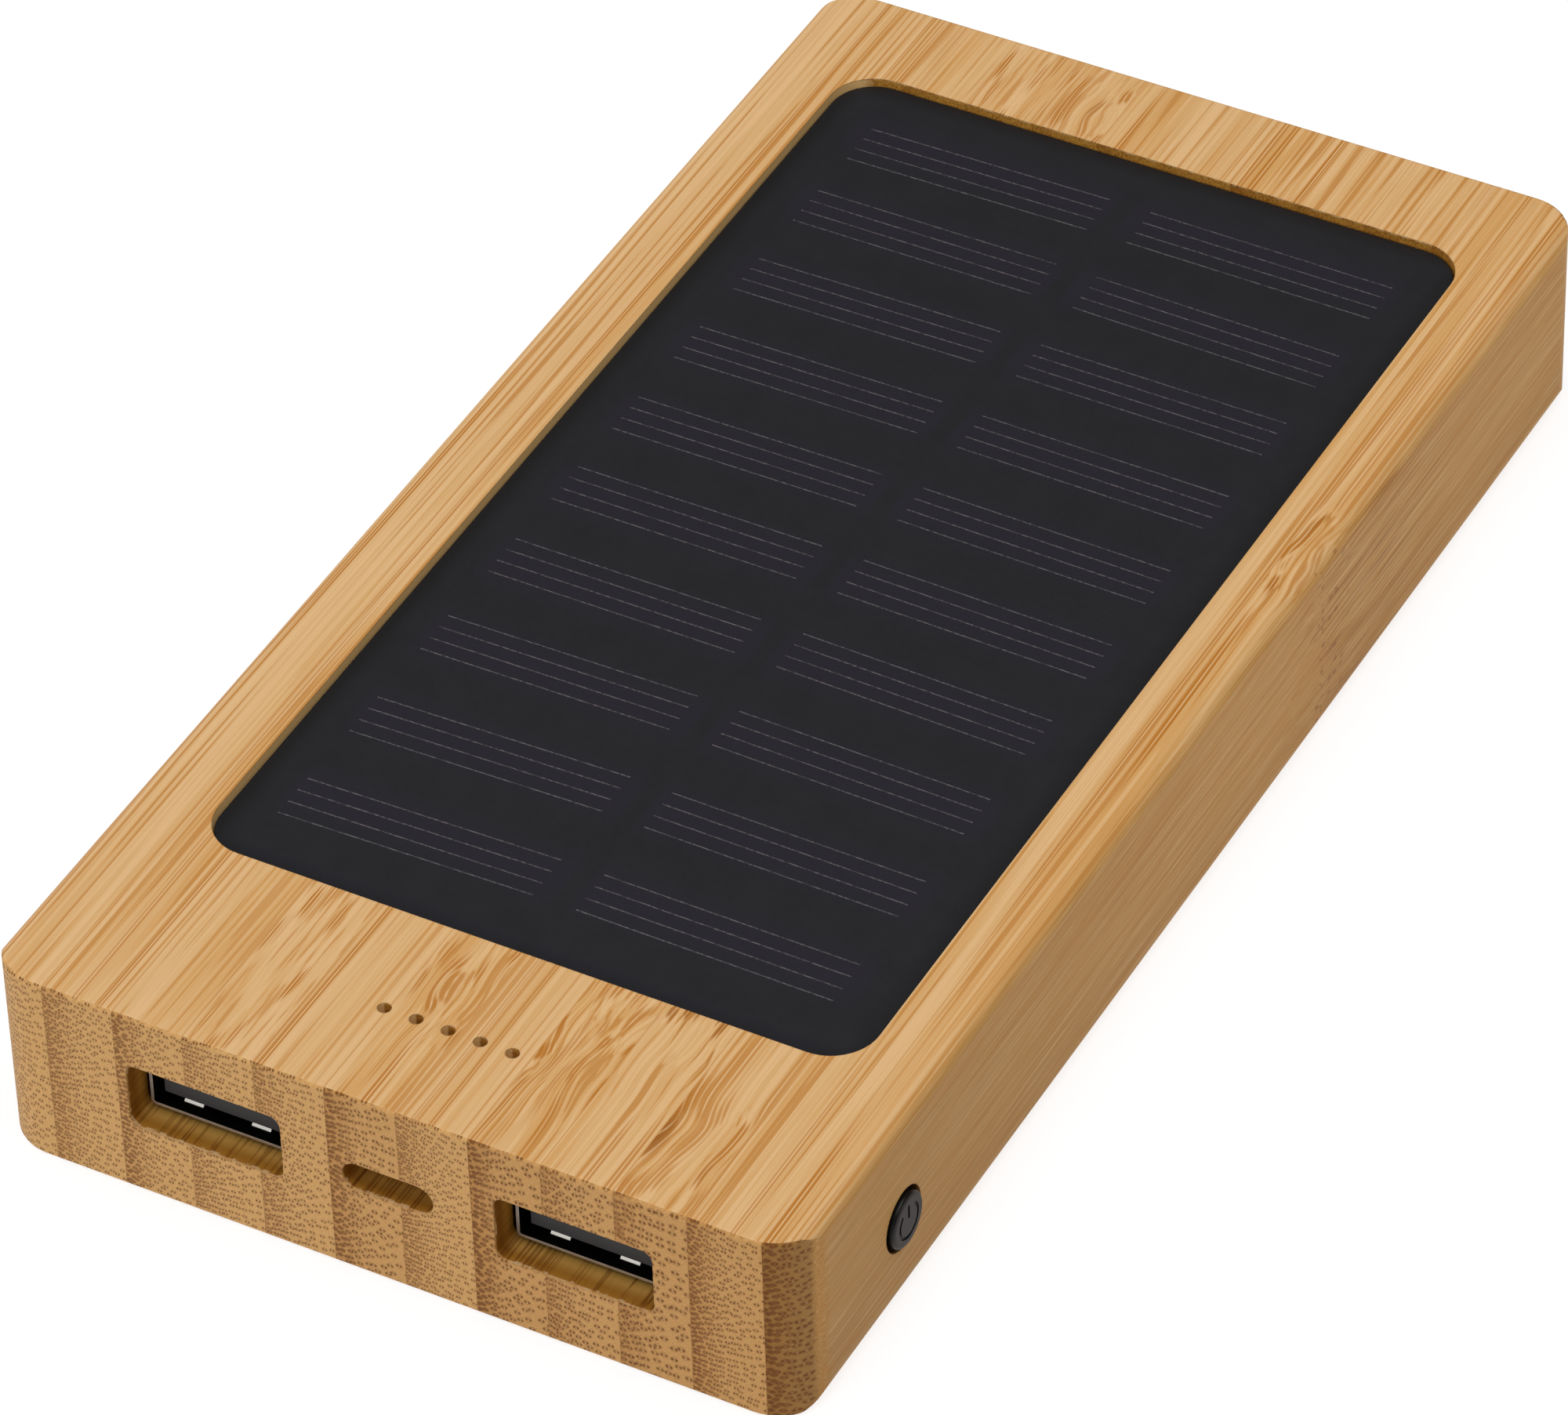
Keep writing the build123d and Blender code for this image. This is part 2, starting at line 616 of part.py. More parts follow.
def tact_switch_terminals():
    top = BUTTON_Z + SWITCH_SIZE / 2
    return [block((SWITCH_X + 0.8, SWITCH_X + 1.1), (y - 0.35, y + 0.35), (top, BOARD_Z))
            for y in (BUTTON_Y - 2.0, BUTTON_Y + 2.0)]


def power_symbol():
    """The usual broken ring and bar, drawn on the button's face with its gap upwards."""
    stroke = SYMBOL_STROKE
    ring = Circle(SYMBOL_R + stroke / 2) - Circle(SYMBOL_R - stroke / 2)
    gap = radians(SYMBOL_GAP)
    far = 2 * SYMBOL_R
    left = (-far * sin(gap), far * cos(gap))
    right = (far * sin(gap), far * cos(gap))
    ring -= make_face(Polyline((0, 0), right, left, close=True))
    bar = Pos(0, SYMBOL_R * 2 / 3) * RectangleRounded(stroke, SYMBOL_R * 0.9, stroke / 2 - 0.01)
    return ring + bar


def power_button():
    face_x = HALF_W + BUTTON_PROUD
    flange_x = (CAVITY_X - BUTTON_REST_GAP - BUTTON_FLANGE_T, CAVITY_X - BUTTON_REST_GAP)
    cap = along_x(BUTTON_R, flange_x[1], face_x)
    cap = fillet(cap.edges().filter_by(GeomType.CIRCLE).group_by(Axis.X)[-1], BUTTON_RIM_R)
    button = fused([cap, along_x(BUTTON_FLANGE_R, *flange_x)])
    button -= along_x(STEM_R + STEM_FIT / 2, flange_x[0], CAVITY_X + STEM_SOCKET + STEM_FIT)
    face = Plane(origin=(face_x, BUTTON_Y, BUTTON_Z), x_dir=(0, 1, 0), z_dir=(1, 0, 0))
    return button - extrude(face * power_symbol(), -SYMBOL_DEPTH)


# ---------------------------------------------------------------- battery
TERRACE_Z = CELL_PACK_Z + CELL_PACK_T / 2
TABS_X = (-11.0, 11.0)
LEAD_R = 0.65
LEADS_X = (-16.0, 16.0)
FOAM_ROWS = (-15, 38)
GUARD_Z = TERRACE_Z + TERRACE_T / 2 + 0.15          # underside of the protection board
GUARD_T = 0.8
GUARD_IC_H = 1.1


def battery_pouch():
    low_y, high_y = CELL_PACK_Y
    half = CELL_PACK_W / 2
    cell = block((-half, half), CELL_PACK_Y, (CELL_PACK_Z, CELL_PACK_Z + CELL_PACK_T))
    cell = fillet(cell.edges().filter_by(Axis.Y), 2.0)
    seal = block((4 - half, half - 4), (low_y - TERRACE_L, low_y + WELD),
                 (TERRACE_Z - TERRACE_T / 2, TERRACE_Z + TERRACE_T / 2))
    return fused([cell, seal])


def battery_tabs():
    low_y = CELL_PACK_Y[0]
    zs = (TERRACE_Z + TERRACE_T / 2, GUARD_Z)
    return [block((x - 2, x + 2), (low_y - 5.0, low_y - 0.2), zs) for x in TABS_X]


def protection_board():
    low_y = CELL_PACK_Y[0]
    return block((-25, 25), (low_y - 5.3, low_y - 0.7), (GUARD_Z, GUARD_Z + GUARD_T))


def protection_ics():
    y = CELL_PACK_Y[0] - 3.0
    top = GUARD_Z + GUARD_T
    zs = (top, top + GUARD_IC_H)
    return [block((x - 1.5, x + 1.5), (y - 1.4, y + 1.4), zs) for x in (-6, 0, 6)]


def protection_tape():
    """Insulating film over the protection board's chips."""
    low_y = CELL_PACK_Y[0]
    top = GUARD_Z + GUARD_T + GUARD_IC_H
    return block((-12, 12), (low_y - 5.6, low_y - 0.4), (top, top + 0.1))


def battery_lead(x):
    run_z = GUARD_Z + GUARD_T + LEAD_R
    rise_y = BOARD_REAR_Y - 2.8
    points = [(x, CELL_PACK_Y[0] - 1.5, run_z), (x, rise_y, run_z), (x, rise_y, BOARD_Z)]
    return wire_lead(points, 2.0, LEAD_R)


def foam_pads(low_z, high_z):
    """Two self-adhesive foam pads that hold the battery between the cover and the top."""
    return [block((-25, 25), (y - 10, y + 10), (low_z, high_z)) for y in FOAM_ROWS]


# ---------------------------------------------------------------- the nodes
NODES = {
    "bamboo_body": bamboo_body(),
    "bamboo_bottom_cover": bamboo_bottom_cover(),
    "cover_screws": cover_screws(),
    "solar_front_sheet": solar_front_sheet(),
    "solar_cells": solar_cells(),
    "solar_backing_board": solar_backing_board(),
    "solar_adhesive_frame": solar_adhesive_frame(),
    "solar_solder_pads": solar_solder_pads(),
    "solar_lead_black": solar_lead(LEAD_HOLES[0]),
    "solar_lead_red": solar_lead(LEAD_HOLES[1]),
    "main_circuit_board": main_circuit_board(),
    "board_screws": board_screws(),
    "charge_leds": charge_leds(),
    "led_resistors": led_resistors(),
    "boost_inductor": boost_inductor(),
    "power_ics": power_ics(),
    "power_ic_leads": power_ic_leads(),
    "schottky_diodes": schottky_diodes(),
    "ceramic_capacitors": ceramic_capacitors(),
    "output_capacitors": output_capacitors(),
    "usb_c_shell": usb_c_shell(),
    "usb_c_insulator": usb_c_insulator(),
    "usb_c_contacts": usb_c_pins(),
    "usb_c_riser": usb_c_riser(),
    "tact_switch_body": tact_switch_body(),
    "tact_switch_dome": tact_switch_dome(),
    "tact_switch_stem": tact_switch_stem(),
    "tact_switch_bracket": tact_switch_bracket(),
    "tact_switch_terminals": tact_switch_terminals(),
    "power_button": power_button(),
    "battery_pouch": battery_pouch(),
    "battery_tabs": battery_tabs(),
    "protection_board": protection_board(),
    "protection_ics": protection_ics(),
    "protection_tape": protection_tape(),
    "battery_lead_black": battery_lead(LEADS_X[0]),
    "battery_lead_red": battery_lead(LEADS_X[1]),
    "battery_foam_bottom": foam_pads(COVER_T, CELL_PACK_Z),
    "battery_foam_top": foam_pads(CELL_PACK_Z + CELL_PACK_T, CEILING_Z),
}
for hand, socket_x in (("left", -USB_X), ("right", USB_X)):
    NODES[f"usb_a_{hand}_shell"] = usb_a_shell(socket_x)
    NODES[f"usb_a_{hand}_insulator"] = usb_a_insulator(socket_x)
    NODES[f"usb_a_{hand}_contacts"] = usb_a_pins(socket_x)

os.makedirs("parts", exist_ok=True)
for name, shape in NODES.items():
    node = Compound(children=list(shape)) if isinstance(shape, list) else shape
    export_step(node, f"parts/{name}.step")
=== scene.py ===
from math import cos, pi, radians, sin

import bmesh
import bpy
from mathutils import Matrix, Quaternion, Vector


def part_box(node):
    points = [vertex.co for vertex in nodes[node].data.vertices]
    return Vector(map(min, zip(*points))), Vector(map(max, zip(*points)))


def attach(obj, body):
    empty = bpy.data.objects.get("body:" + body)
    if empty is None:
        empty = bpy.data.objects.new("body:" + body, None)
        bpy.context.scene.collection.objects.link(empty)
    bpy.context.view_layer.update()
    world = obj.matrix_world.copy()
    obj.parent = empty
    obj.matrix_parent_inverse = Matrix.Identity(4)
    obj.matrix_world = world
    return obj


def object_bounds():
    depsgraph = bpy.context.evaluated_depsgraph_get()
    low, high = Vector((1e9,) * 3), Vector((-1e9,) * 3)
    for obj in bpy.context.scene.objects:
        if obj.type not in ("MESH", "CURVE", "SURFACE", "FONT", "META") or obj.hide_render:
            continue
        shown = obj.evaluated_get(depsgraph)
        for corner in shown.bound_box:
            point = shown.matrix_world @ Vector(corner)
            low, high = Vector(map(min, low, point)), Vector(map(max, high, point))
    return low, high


# The looks of a bamboo solar power bank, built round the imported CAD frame.
# Lengths in the frame are metres; MM turns the millimetres written here into metres.
MM = 0.001

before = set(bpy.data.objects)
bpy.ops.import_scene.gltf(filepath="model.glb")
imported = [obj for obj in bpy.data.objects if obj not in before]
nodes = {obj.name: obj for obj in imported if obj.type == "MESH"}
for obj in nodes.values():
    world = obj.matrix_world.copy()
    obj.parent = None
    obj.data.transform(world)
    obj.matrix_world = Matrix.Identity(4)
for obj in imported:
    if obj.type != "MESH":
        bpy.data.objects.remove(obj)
cad_low, cad_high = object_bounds()
BODY_LOW, BODY_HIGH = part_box("bamboo_body")
BODY_LENGTH = (BODY_HIGH.y - BODY_LOW.y) / MM
SHEET_LOW, SHEET_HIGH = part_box("solar_front_sheet")
CELLS_LOW, CELLS_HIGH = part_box("solar_cells")

# ---------------------------------------------------------------- camera and studio
LOOK_AT = Vector((0.28, -7.08, 9.6)) * MM
VIEW_AZIMUTH = 29.414
VIEW_ELEVATION = 41.123
VIEW_ROLL = 1.878           # degrees, the camera's top leaning to the right
VIEW_DISTANCE = 0.78
VIEW_LENS = 211.94

WORLD_STRENGTH = 0.14
# name, place, width, height, power in watts
SOFTBOXES = (
    ("top_softbox", (0.2, -0.2, 1.9), 2.0, 2.0, 38.6),
    ("front_softbox", (-0.5, -2.0, 0.6), 1.6, 1.2, 11.5),
    ("left_softbox", (-2.0, 0.5, 0.8), 1.6, 1.2, 9),
)
FLOOR_SIZE = 4.0
FLOOR_GAP = 0.02 * MM       # keeps the floor and the underside from sharing a plane
FLOOR_DARK = (0.24, 0.24, 0.24)
FLOOR_PALE = (0.26, 0.26, 0.26)
FLOOR_GLOW = 0.8


def add_camera():
    azimuth = radians(VIEW_AZIMUTH)
    elevation = radians(VIEW_ELEVATION)
    back = Vector((sin(azimuth) * cos(elevation), -cos(azimuth) * cos(elevation), sin(elevation)))
    data = bpy.data.cameras.new("camera")
    data.lens = VIEW_LENS
    data.clip_start = 0.05
    data.clip_end = 20
    camera = bpy.data.objects.new("camera", data)
    camera.rotation_mode = "QUATERNION"
    level = (-back).to_track_quat("-Z", "Y")
    camera.rotation_quaternion = level @ Quaternion((0, 0, 1), radians(-VIEW_ROLL))
    camera.location = LOOK_AT + back * VIEW_DISTANCE
    bpy.context.scene.collection.objects.link(camera)
    bpy.context.scene.camera = camera


def add_softbox(name, place, width, height, power):
    """A rectangular soft light that faces the middle of the object."""
    data = bpy.data.lights.new(name, "AREA")
    data.shape = "RECTANGLE"
    data.size = width
    data.size_y = height
    data.energy = power
    lamp = bpy.data.objects.new(name, data)
    lamp.location = place
    lamp.rotation_mode = "QUATERNION"
    lamp.rotation_quaternion = (LOOK_AT - lamp.location).to_track_quat("-Z", "Y")
    bpy.context.scene.collection.objects.link(lamp)


def add_studio():
    scene = bpy.context.scene
    scene.view_settings.view_transform = "Standard"
    world = bpy.data.worlds.new("studio")
    scene.world = world
    world.use_nodes = True
    background = world.node_tree.nodes["Background"]
    background.inputs["Color"].default_value = (1.0, 1.0, 1.0, 1.0)
    background.inputs["Strength"].default_value = WORLD_STRENGTH
    for softbox in SOFTBOXES:
        add_softbox(*softbox)

    mesh = bpy.data.meshes.new("floor")
    half = FLOOR_SIZE / 2
    corners = [(-half, -half, 0), (half, -half, 0), (half, half, 0), (-half, half, 0)]
    mesh.from_pydata(corners, [], [(0, 1, 2, 3)])
    floor = bpy.data.objects.new("floor", mesh)
    floor.location = (0, 0, cad_low.z - FLOOR_GAP)
    scene.collection.objects.link(floor)
    paint = Paint("floor_paper")
    grain = paint.noise(paint.place(), 0.02)
    paint.colour(paint.mix(FLOOR_DARK, FLOOR_PALE, grain))
    paint.set(roughness=0.9, specular=0.1)
    paint.feed(paint.shader.inputs["Emission Color"], (1.0, 1.0, 1.0))
    paint.shader.inputs["Emission Strength"].default_value = FLOOR_GLOW
    mesh.materials.append(paint.material)


# ---------------------------------------------------------------- writing materials
class Wire:
    """A value inside a material. Arithmetic on it adds Math nodes to that material."""

    def __init__(self, paint, socket):
        self.paint = paint
        self.socket = socket

    def __add__(self, other):
        return self.paint.math("ADD", self, other)

    def __sub__(self, other):
        return self.paint.math("SUBTRACT", self, other)

    def __rsub__(self, other):
        return self.paint.math("SUBTRACT", other, self)

    def __mul__(self, other):
        return self.paint.math("MULTIPLY", self, other)

    def __truediv__(self, other):
        return self.paint.math("DIVIDE", self, other)

    def __abs__(self):
        return self.paint.math("ABSOLUTE", self)


class Paint:
    """A material with one Principled shader, and short calls for the nodes that feed it."""

    SOCKETS = {
        "roughness": "Roughness",
        "metallic": "Metallic",
        "specular": "Specular IOR Level",
        "sheen": "Sheen Weight",
        "subsurface": "Subsurface Weight",
        "subsurface_scale": "Subsurface Scale",
    }

    def __init__(self, name):
        self.material = bpy.data.materials.new(name)
        self.material.use_nodes = True
        self.tree = self.material.node_tree
        self.shader = self.tree.nodes["Principled BSDF"]

    def node(self, kind, **settings):
        made = self.tree.nodes.new("ShaderNode" + kind)
        for key, value in settings.items():
            setattr(made, key, value)
        return made

    def feed(self, socket, value):
        if isinstance(value, Wire):
            self.tree.links.new(value.socket, socket)
        elif isinstance(value, tuple) and socket.type == "RGBA":
            socket.default_value = (*value, 1.0)
        else:
            socket.default_value = value

    def math(self, operation, *values):
        made = self.node("Math", operation=operation)
        for socket, value in zip(made.inputs, values):
            self.feed(socket, value)
        return Wire(self, made.outputs[0])

    def place(self):
        """The point on the surface in the frame's own axes, in millimetres."""
        made = self.node("VectorMath", operation="SCALE")
        texture = self.node("TexCoord")
        self.tree.links.new(texture.outputs["Object"], made.inputs[0])
        made.inputs["Scale"].default_value = 1 / MM
        return Wire(self, made.outputs[0])

    def facing(self):
        """The x, y and z of the direction that the surface faces."""
        geometry = self.node("NewGeometry")
        return self.split(Wire(self, geometry.outputs["Normal"]))

    def split(self, vector):
        made = self.node("SeparateXYZ")
        self.feed(made.inputs[0], vector)
        return [Wire(self, output) for output in made.outputs]

    def vector(self, x, y, z):
        made = self.node("CombineXYZ")
        for socket, value in zip(made.inputs, (x, y, z)):
            self.feed(socket, value)
        return Wire(self, made.outputs[0])

    def noise(self, vector, scale, detail=2.0, roughness=0.5, output="Fac"):
        made = self.node("TexNoise")
        self.feed(made.inputs["Vector"], vector)
        made.inputs["Scale"].default_value = scale
        made.inputs["Detail"].default_value = detail
        made.inputs["Roughness"].default_value = roughness
        return Wire(self, made.outputs[output])

    def voronoi(self, vector, scale, randomness=1.0, dimensions="3D", output="Distance"):
        made = self.node("TexVoronoi", voronoi_dimensions=dimensions)
        self.feed(made.inputs["Vector"], vector)
        made.inputs["Scale"].default_value = scale
        made.inputs["Randomness"].default_value = randomness
        if isinstance(output, str):
            return Wire(self, made.outputs[output])
        return [Wire(self, made.outputs[name]) for name in output]

    def rise(self, value, low, high):
        """Goes smoothly from 0 at low to 1 at high. With low above high it falls instead."""
        made = self.node("MapRange", interpolation_type="SMOOTHSTEP")
        self.feed(made.inputs["Value"], value)
        self.feed(made.inputs["From Min"], low)
        self.feed(made.inputs["From Max"], high)
        return Wire(self, made.outputs[0])

    def bump_at(self, value, centre, width):
        """1 where value is centre, falling smoothly to 0 at width on both sides."""
        return self.rise(abs(value - centre), width, 0.0)

    def most(self, first, second):
        return self.math("MAXIMUM", first, second)

    def least(self, first, second):
        return self.math("MINIMUM", first, second)

    def length(self, first, second):
        """Length of the long side of a right-angled triangle."""
        return self.math("SQRT", first * first + second * second)

    def mix(self, first, second, amount, blend_type="MIX"):
        """A colour between two colours, or the first multiplied by the second."""
        made = self.node("Mix", data_type="RGBA", blend_type=blend_type)
        self.feed(made.inputs[0], amount)
        self.feed(made.inputs[6], first)
        self.feed(made.inputs[7], second)
        return Wire(self, made.outputs[2])

    def layers(self, colour, *covers):
        """The colour with others laid over it in turn, each with its own amount."""
        for cover, amount in covers:
            colour = self.mix(colour, cover, amount)
        return colour

    def blend(self, first, second, amount):
        """A number between two numbers."""
        made = self.node("Mix", data_type="FLOAT")
        self.feed(made.inputs[0], amount)
        self.feed(made.inputs[2], first)
        self.feed(made.inputs[3], second)
        return Wire(self, made.outputs[0])

    def steps(self, position, rows):
        """Three numbers that change in steps as position goes from 0 to 1: one row for each step."""
        made = self.node("ValToRGB")
        ramp = made.color_ramp
        ramp.interpolation = "CONSTANT"
        for index, row in enumerate(rows):
            place = index / len(rows)
            stop = ramp.elements[0] if index == 0 else ramp.elements.new(place)
            stop.color = (*row, 1.0)
        ramp.elements.remove(ramp.elements[-1])
        self.feed(made.inputs[0], position)
        apart = self.node("SeparateColor")
        self.tree.links.new(made.outputs["Color"], apart.inputs[0])
        return [Wire(self, output) for output in apart.outputs]

    def colour(self, value):
        self.feed(self.shader.inputs["Base Color"], value)

    def set(self, **values):
        for key, value in values.items():
            self.feed(self.shader.inputs[self.SOCKETS[key]], value)

    def relief(self, height, depth, strength=1.0, edge=0.0):
        """Bump from a height of 0 to 1 that stands for depth millimetres. edge rounds sharp edges."""
        made = self.node("Bump")
        made.inputs["Strength"].default_value = strength
        made.inputs["Distance"].default_value = depth * MM
        self.feed(made.inputs["Height"], height)
        if edge:
            rounded = self.node("Bevel", samples=4)
            rounded.inputs["Radius"].default_value = edge * MM
            self.tree.links.new(rounded.outputs[0], made.inputs["Normal"])
        self.tree.links.new(made.outputs[0], self.shader.inputs["Normal"])


def srgb(red, green, blue):
    """Linear colour from the usual 0 to 255 values."""
    values = []
    for part in (red, green, blue):
        part /= 255
        values.append(part / 12.92 if part <= 0.04045 else ((part + 0.055) / 1.055) ** 2.4)
    return tuple(values)


# ---------------------------------------------------------------- bamboo
LONG_PALE = srgb(212, 171, 120)
LONG_DEEP = srgb(198, 146, 81)
LONG_BRIGHT = srgb(226, 190, 142)
LONG_LINE = srgb(176, 112, 38)
LONG_SCAR = srgb(128, 74, 28)
# the golden colour of the skin side, painted darker as well: painted shade
FLANK_GOLD_AND_SHADE = srgb(184, 133, 64)
END_PALE = srgb(205, 160, 101)
END_DEEP = srgb(158, 105, 46)
END_DOT = srgb(100, 55, 17)
END_OLIVE = srgb(118, 84, 36)
CUT_RIM_SHADE = srgb(192, 160, 84)     # amber of the cut faces: sawn wood and painted bounced light; darker at the mouths: painted shade
CUT_DEEP_LIGHT = srgb(255, 238, 168)   # paler further into the cut-outs: painted light
CHIP_PALE = srgb(232, 202, 154)
# painted light for the left wall of the pocket
WALL_LIGHT_PALE = srgb(252, 206, 138)

STRIP_W = 6.57              # each strip of bamboo is glued on edge, seen from above
STRIP_FIRST = -31.65        # left side of strip 1; strip 0 is the cut one beside it
STRIP_APART = 7.3           # from the noise of one strip to that of the next
PLAN_CORNER_R = 4.7         # upright corners of the body

FLARE = 0.09                # how fast the bundles spread apart from the dense side, per mm
BUNDLE_PITCH = 0.46         # on the dense side
BUNDLE_JITTER = 0.5
BUNDLE_EYE = 0.14           # from the middle of a bundle to each of its two dark eyes
EYE_R = 0.15
EYE_CORE_R = 0.05           # this much of an eye is fully dark
RING_R = 0.19               # the faint ring round both eyes
RING_W = 0.09
DENSE_REACH = 3.4           # how far the dense side of a strip reaches into it

WANDER = 0.9                # how far the fibres stray sideways, and up and down
WANDER_LIFT = 0.6
DIVE = 0.06                 # slope of the fibres at a dive of 1
NODE_REACH_LEAST = 1.0      # how far from a node the fibres still swerve, at a reach of 0
NODE_REACH = 14.0           # and what a reach of 1 adds to that
NODE_SWERVE = 4.5           # width of the swerve sideways, and up and down
NODE_LIFT = 3.0

# features of a noise per mm, across the fibres and along them
FIBRES = (9.0, 0.10)
SLOW_DRIFT = (0.12, 0.014)
QUICK_DRIFT = (0.22, 0.085)
BROAD_BANDS = (0.5, 0.012)
FINE_HAIRS = (2.4, 0.015)

# The pairs that follow say where a smooth step starts and where it ends.
SEAM = (0.09, 0.02)                 # from the side of a strip
BUNDLE_FILL = (0.25, 0.12)          # from the middle of a bundle
VESSELS = (0.12, 0.04)
LINE_CORE = (0.08, 0.02)
END_FACING = (0.34, 0.50)           # share of Y in the way the surface faces
FLANK_FACING = (0.6, 0.9)           # share of X
RIGHT_FACING = (0.4, 0.7)
STRONG_NODE = (0.5, 0.6)            # strength of a node that marks the flank
POCKET_INSIDE = (1.7, 2.3)          # from the outline of the body inwards
MOUTH_INSIDE = (0.12, 0.28)
# from the outline inwards: painted shade at the mouths of the cut-outs gives way to painted light
CUT_LIGHT_FADE = (0.8, 2.2)
UNDER_RIM = (0.03, 0.15)            # from the top downwards
UNDER_ROUNDING = (1.6, 2.2)
POCKET_WALL_FOOT = (2.9, 2.6)
OVER_ROUNDING = (1.5, 2.0)          # from the base upwards
# the flanks are painted darker up from the base and towards the near end: painted shade
FOOT = (10.0, 0.0)
NEAR_END_SHADE = (10.0, -70.0)            # along Y
STAIN_START = (0.0, 2.0)            # along Y from the joint of a node
STAIN_END = (32.0, 4.0)
BROKEN = (0.50, 0.60)               # noise above which the edge of a cut is chipped

# And these say where a bump is highest, and how far from there it ends.
CHIPPED_MOUTH = (0.27, 0.16)        # from the outline of the body inwards
CHIPPED_LIP = (0.1, 0.1)            # from the top downwards
PIT_ROW = (0.0, 0.9)                # along Y from the joint of a node
PITS_BEYOND = (3.0, 4.0)

# strength of the dense side, dive of the fibres, overall tone: one row for each strip
STRIPS = (
    (0.10, 0.04, 0.12), (0.60, 0.04, 0.15), (0.80, 0.25, 0.20), (0.40, 0.80, 0.15),
    (0.50, 0.06, 0.20), (0.85, 0.20, 0.50), (0.55, 0.04, 0.25), (0.90, 0.30, 0.65),
    (0.45, 0.12, 0.55), (0.55, 0.25, 0.65), (0.85, 0.06, 0.60), (1.00, 0.15, 0.95),
)
# half the size of the bundles, share of them that shows as long lines, strength of the fine hairs
GRAIN = (
    (0.47, 0.50, 0.9), (0.49, 0.60, 0.9), (0.50, 0.18, 0.6), (0.50, 0.35, 0.7),
    (0.52, 0.33, 0.6), (0.60, 0.50, 0.8), (0.47, 0.36, 0.7), (0.64, 0.60, 0.9),
    (0.60, 0.55, 0.9), (0.70, 0.54, 0.9), (0.50, 0.62, 0.9), (0.62, 0.68, 0.9),
)
# place of the node along Y as a share of the length, its strength, its reach
NODES = (
    (0.0, 0.0, 0.0), (0.0, 0.0, 0.0), (0.0, 0.0, 0.0), (0.0, 0.0, 0.0),
    (0.96, 0.8, 0.5), (0.10, 0.9, 0.5), (0.0, 0.0, 0.0), (0.095, 1.0, 0.9),
    (0.13, 0.7, 0.9), (0.05, 0.9, 0.6), (0.0, 0.0, 0.0), (0.635, 1.0, 0.6),
)


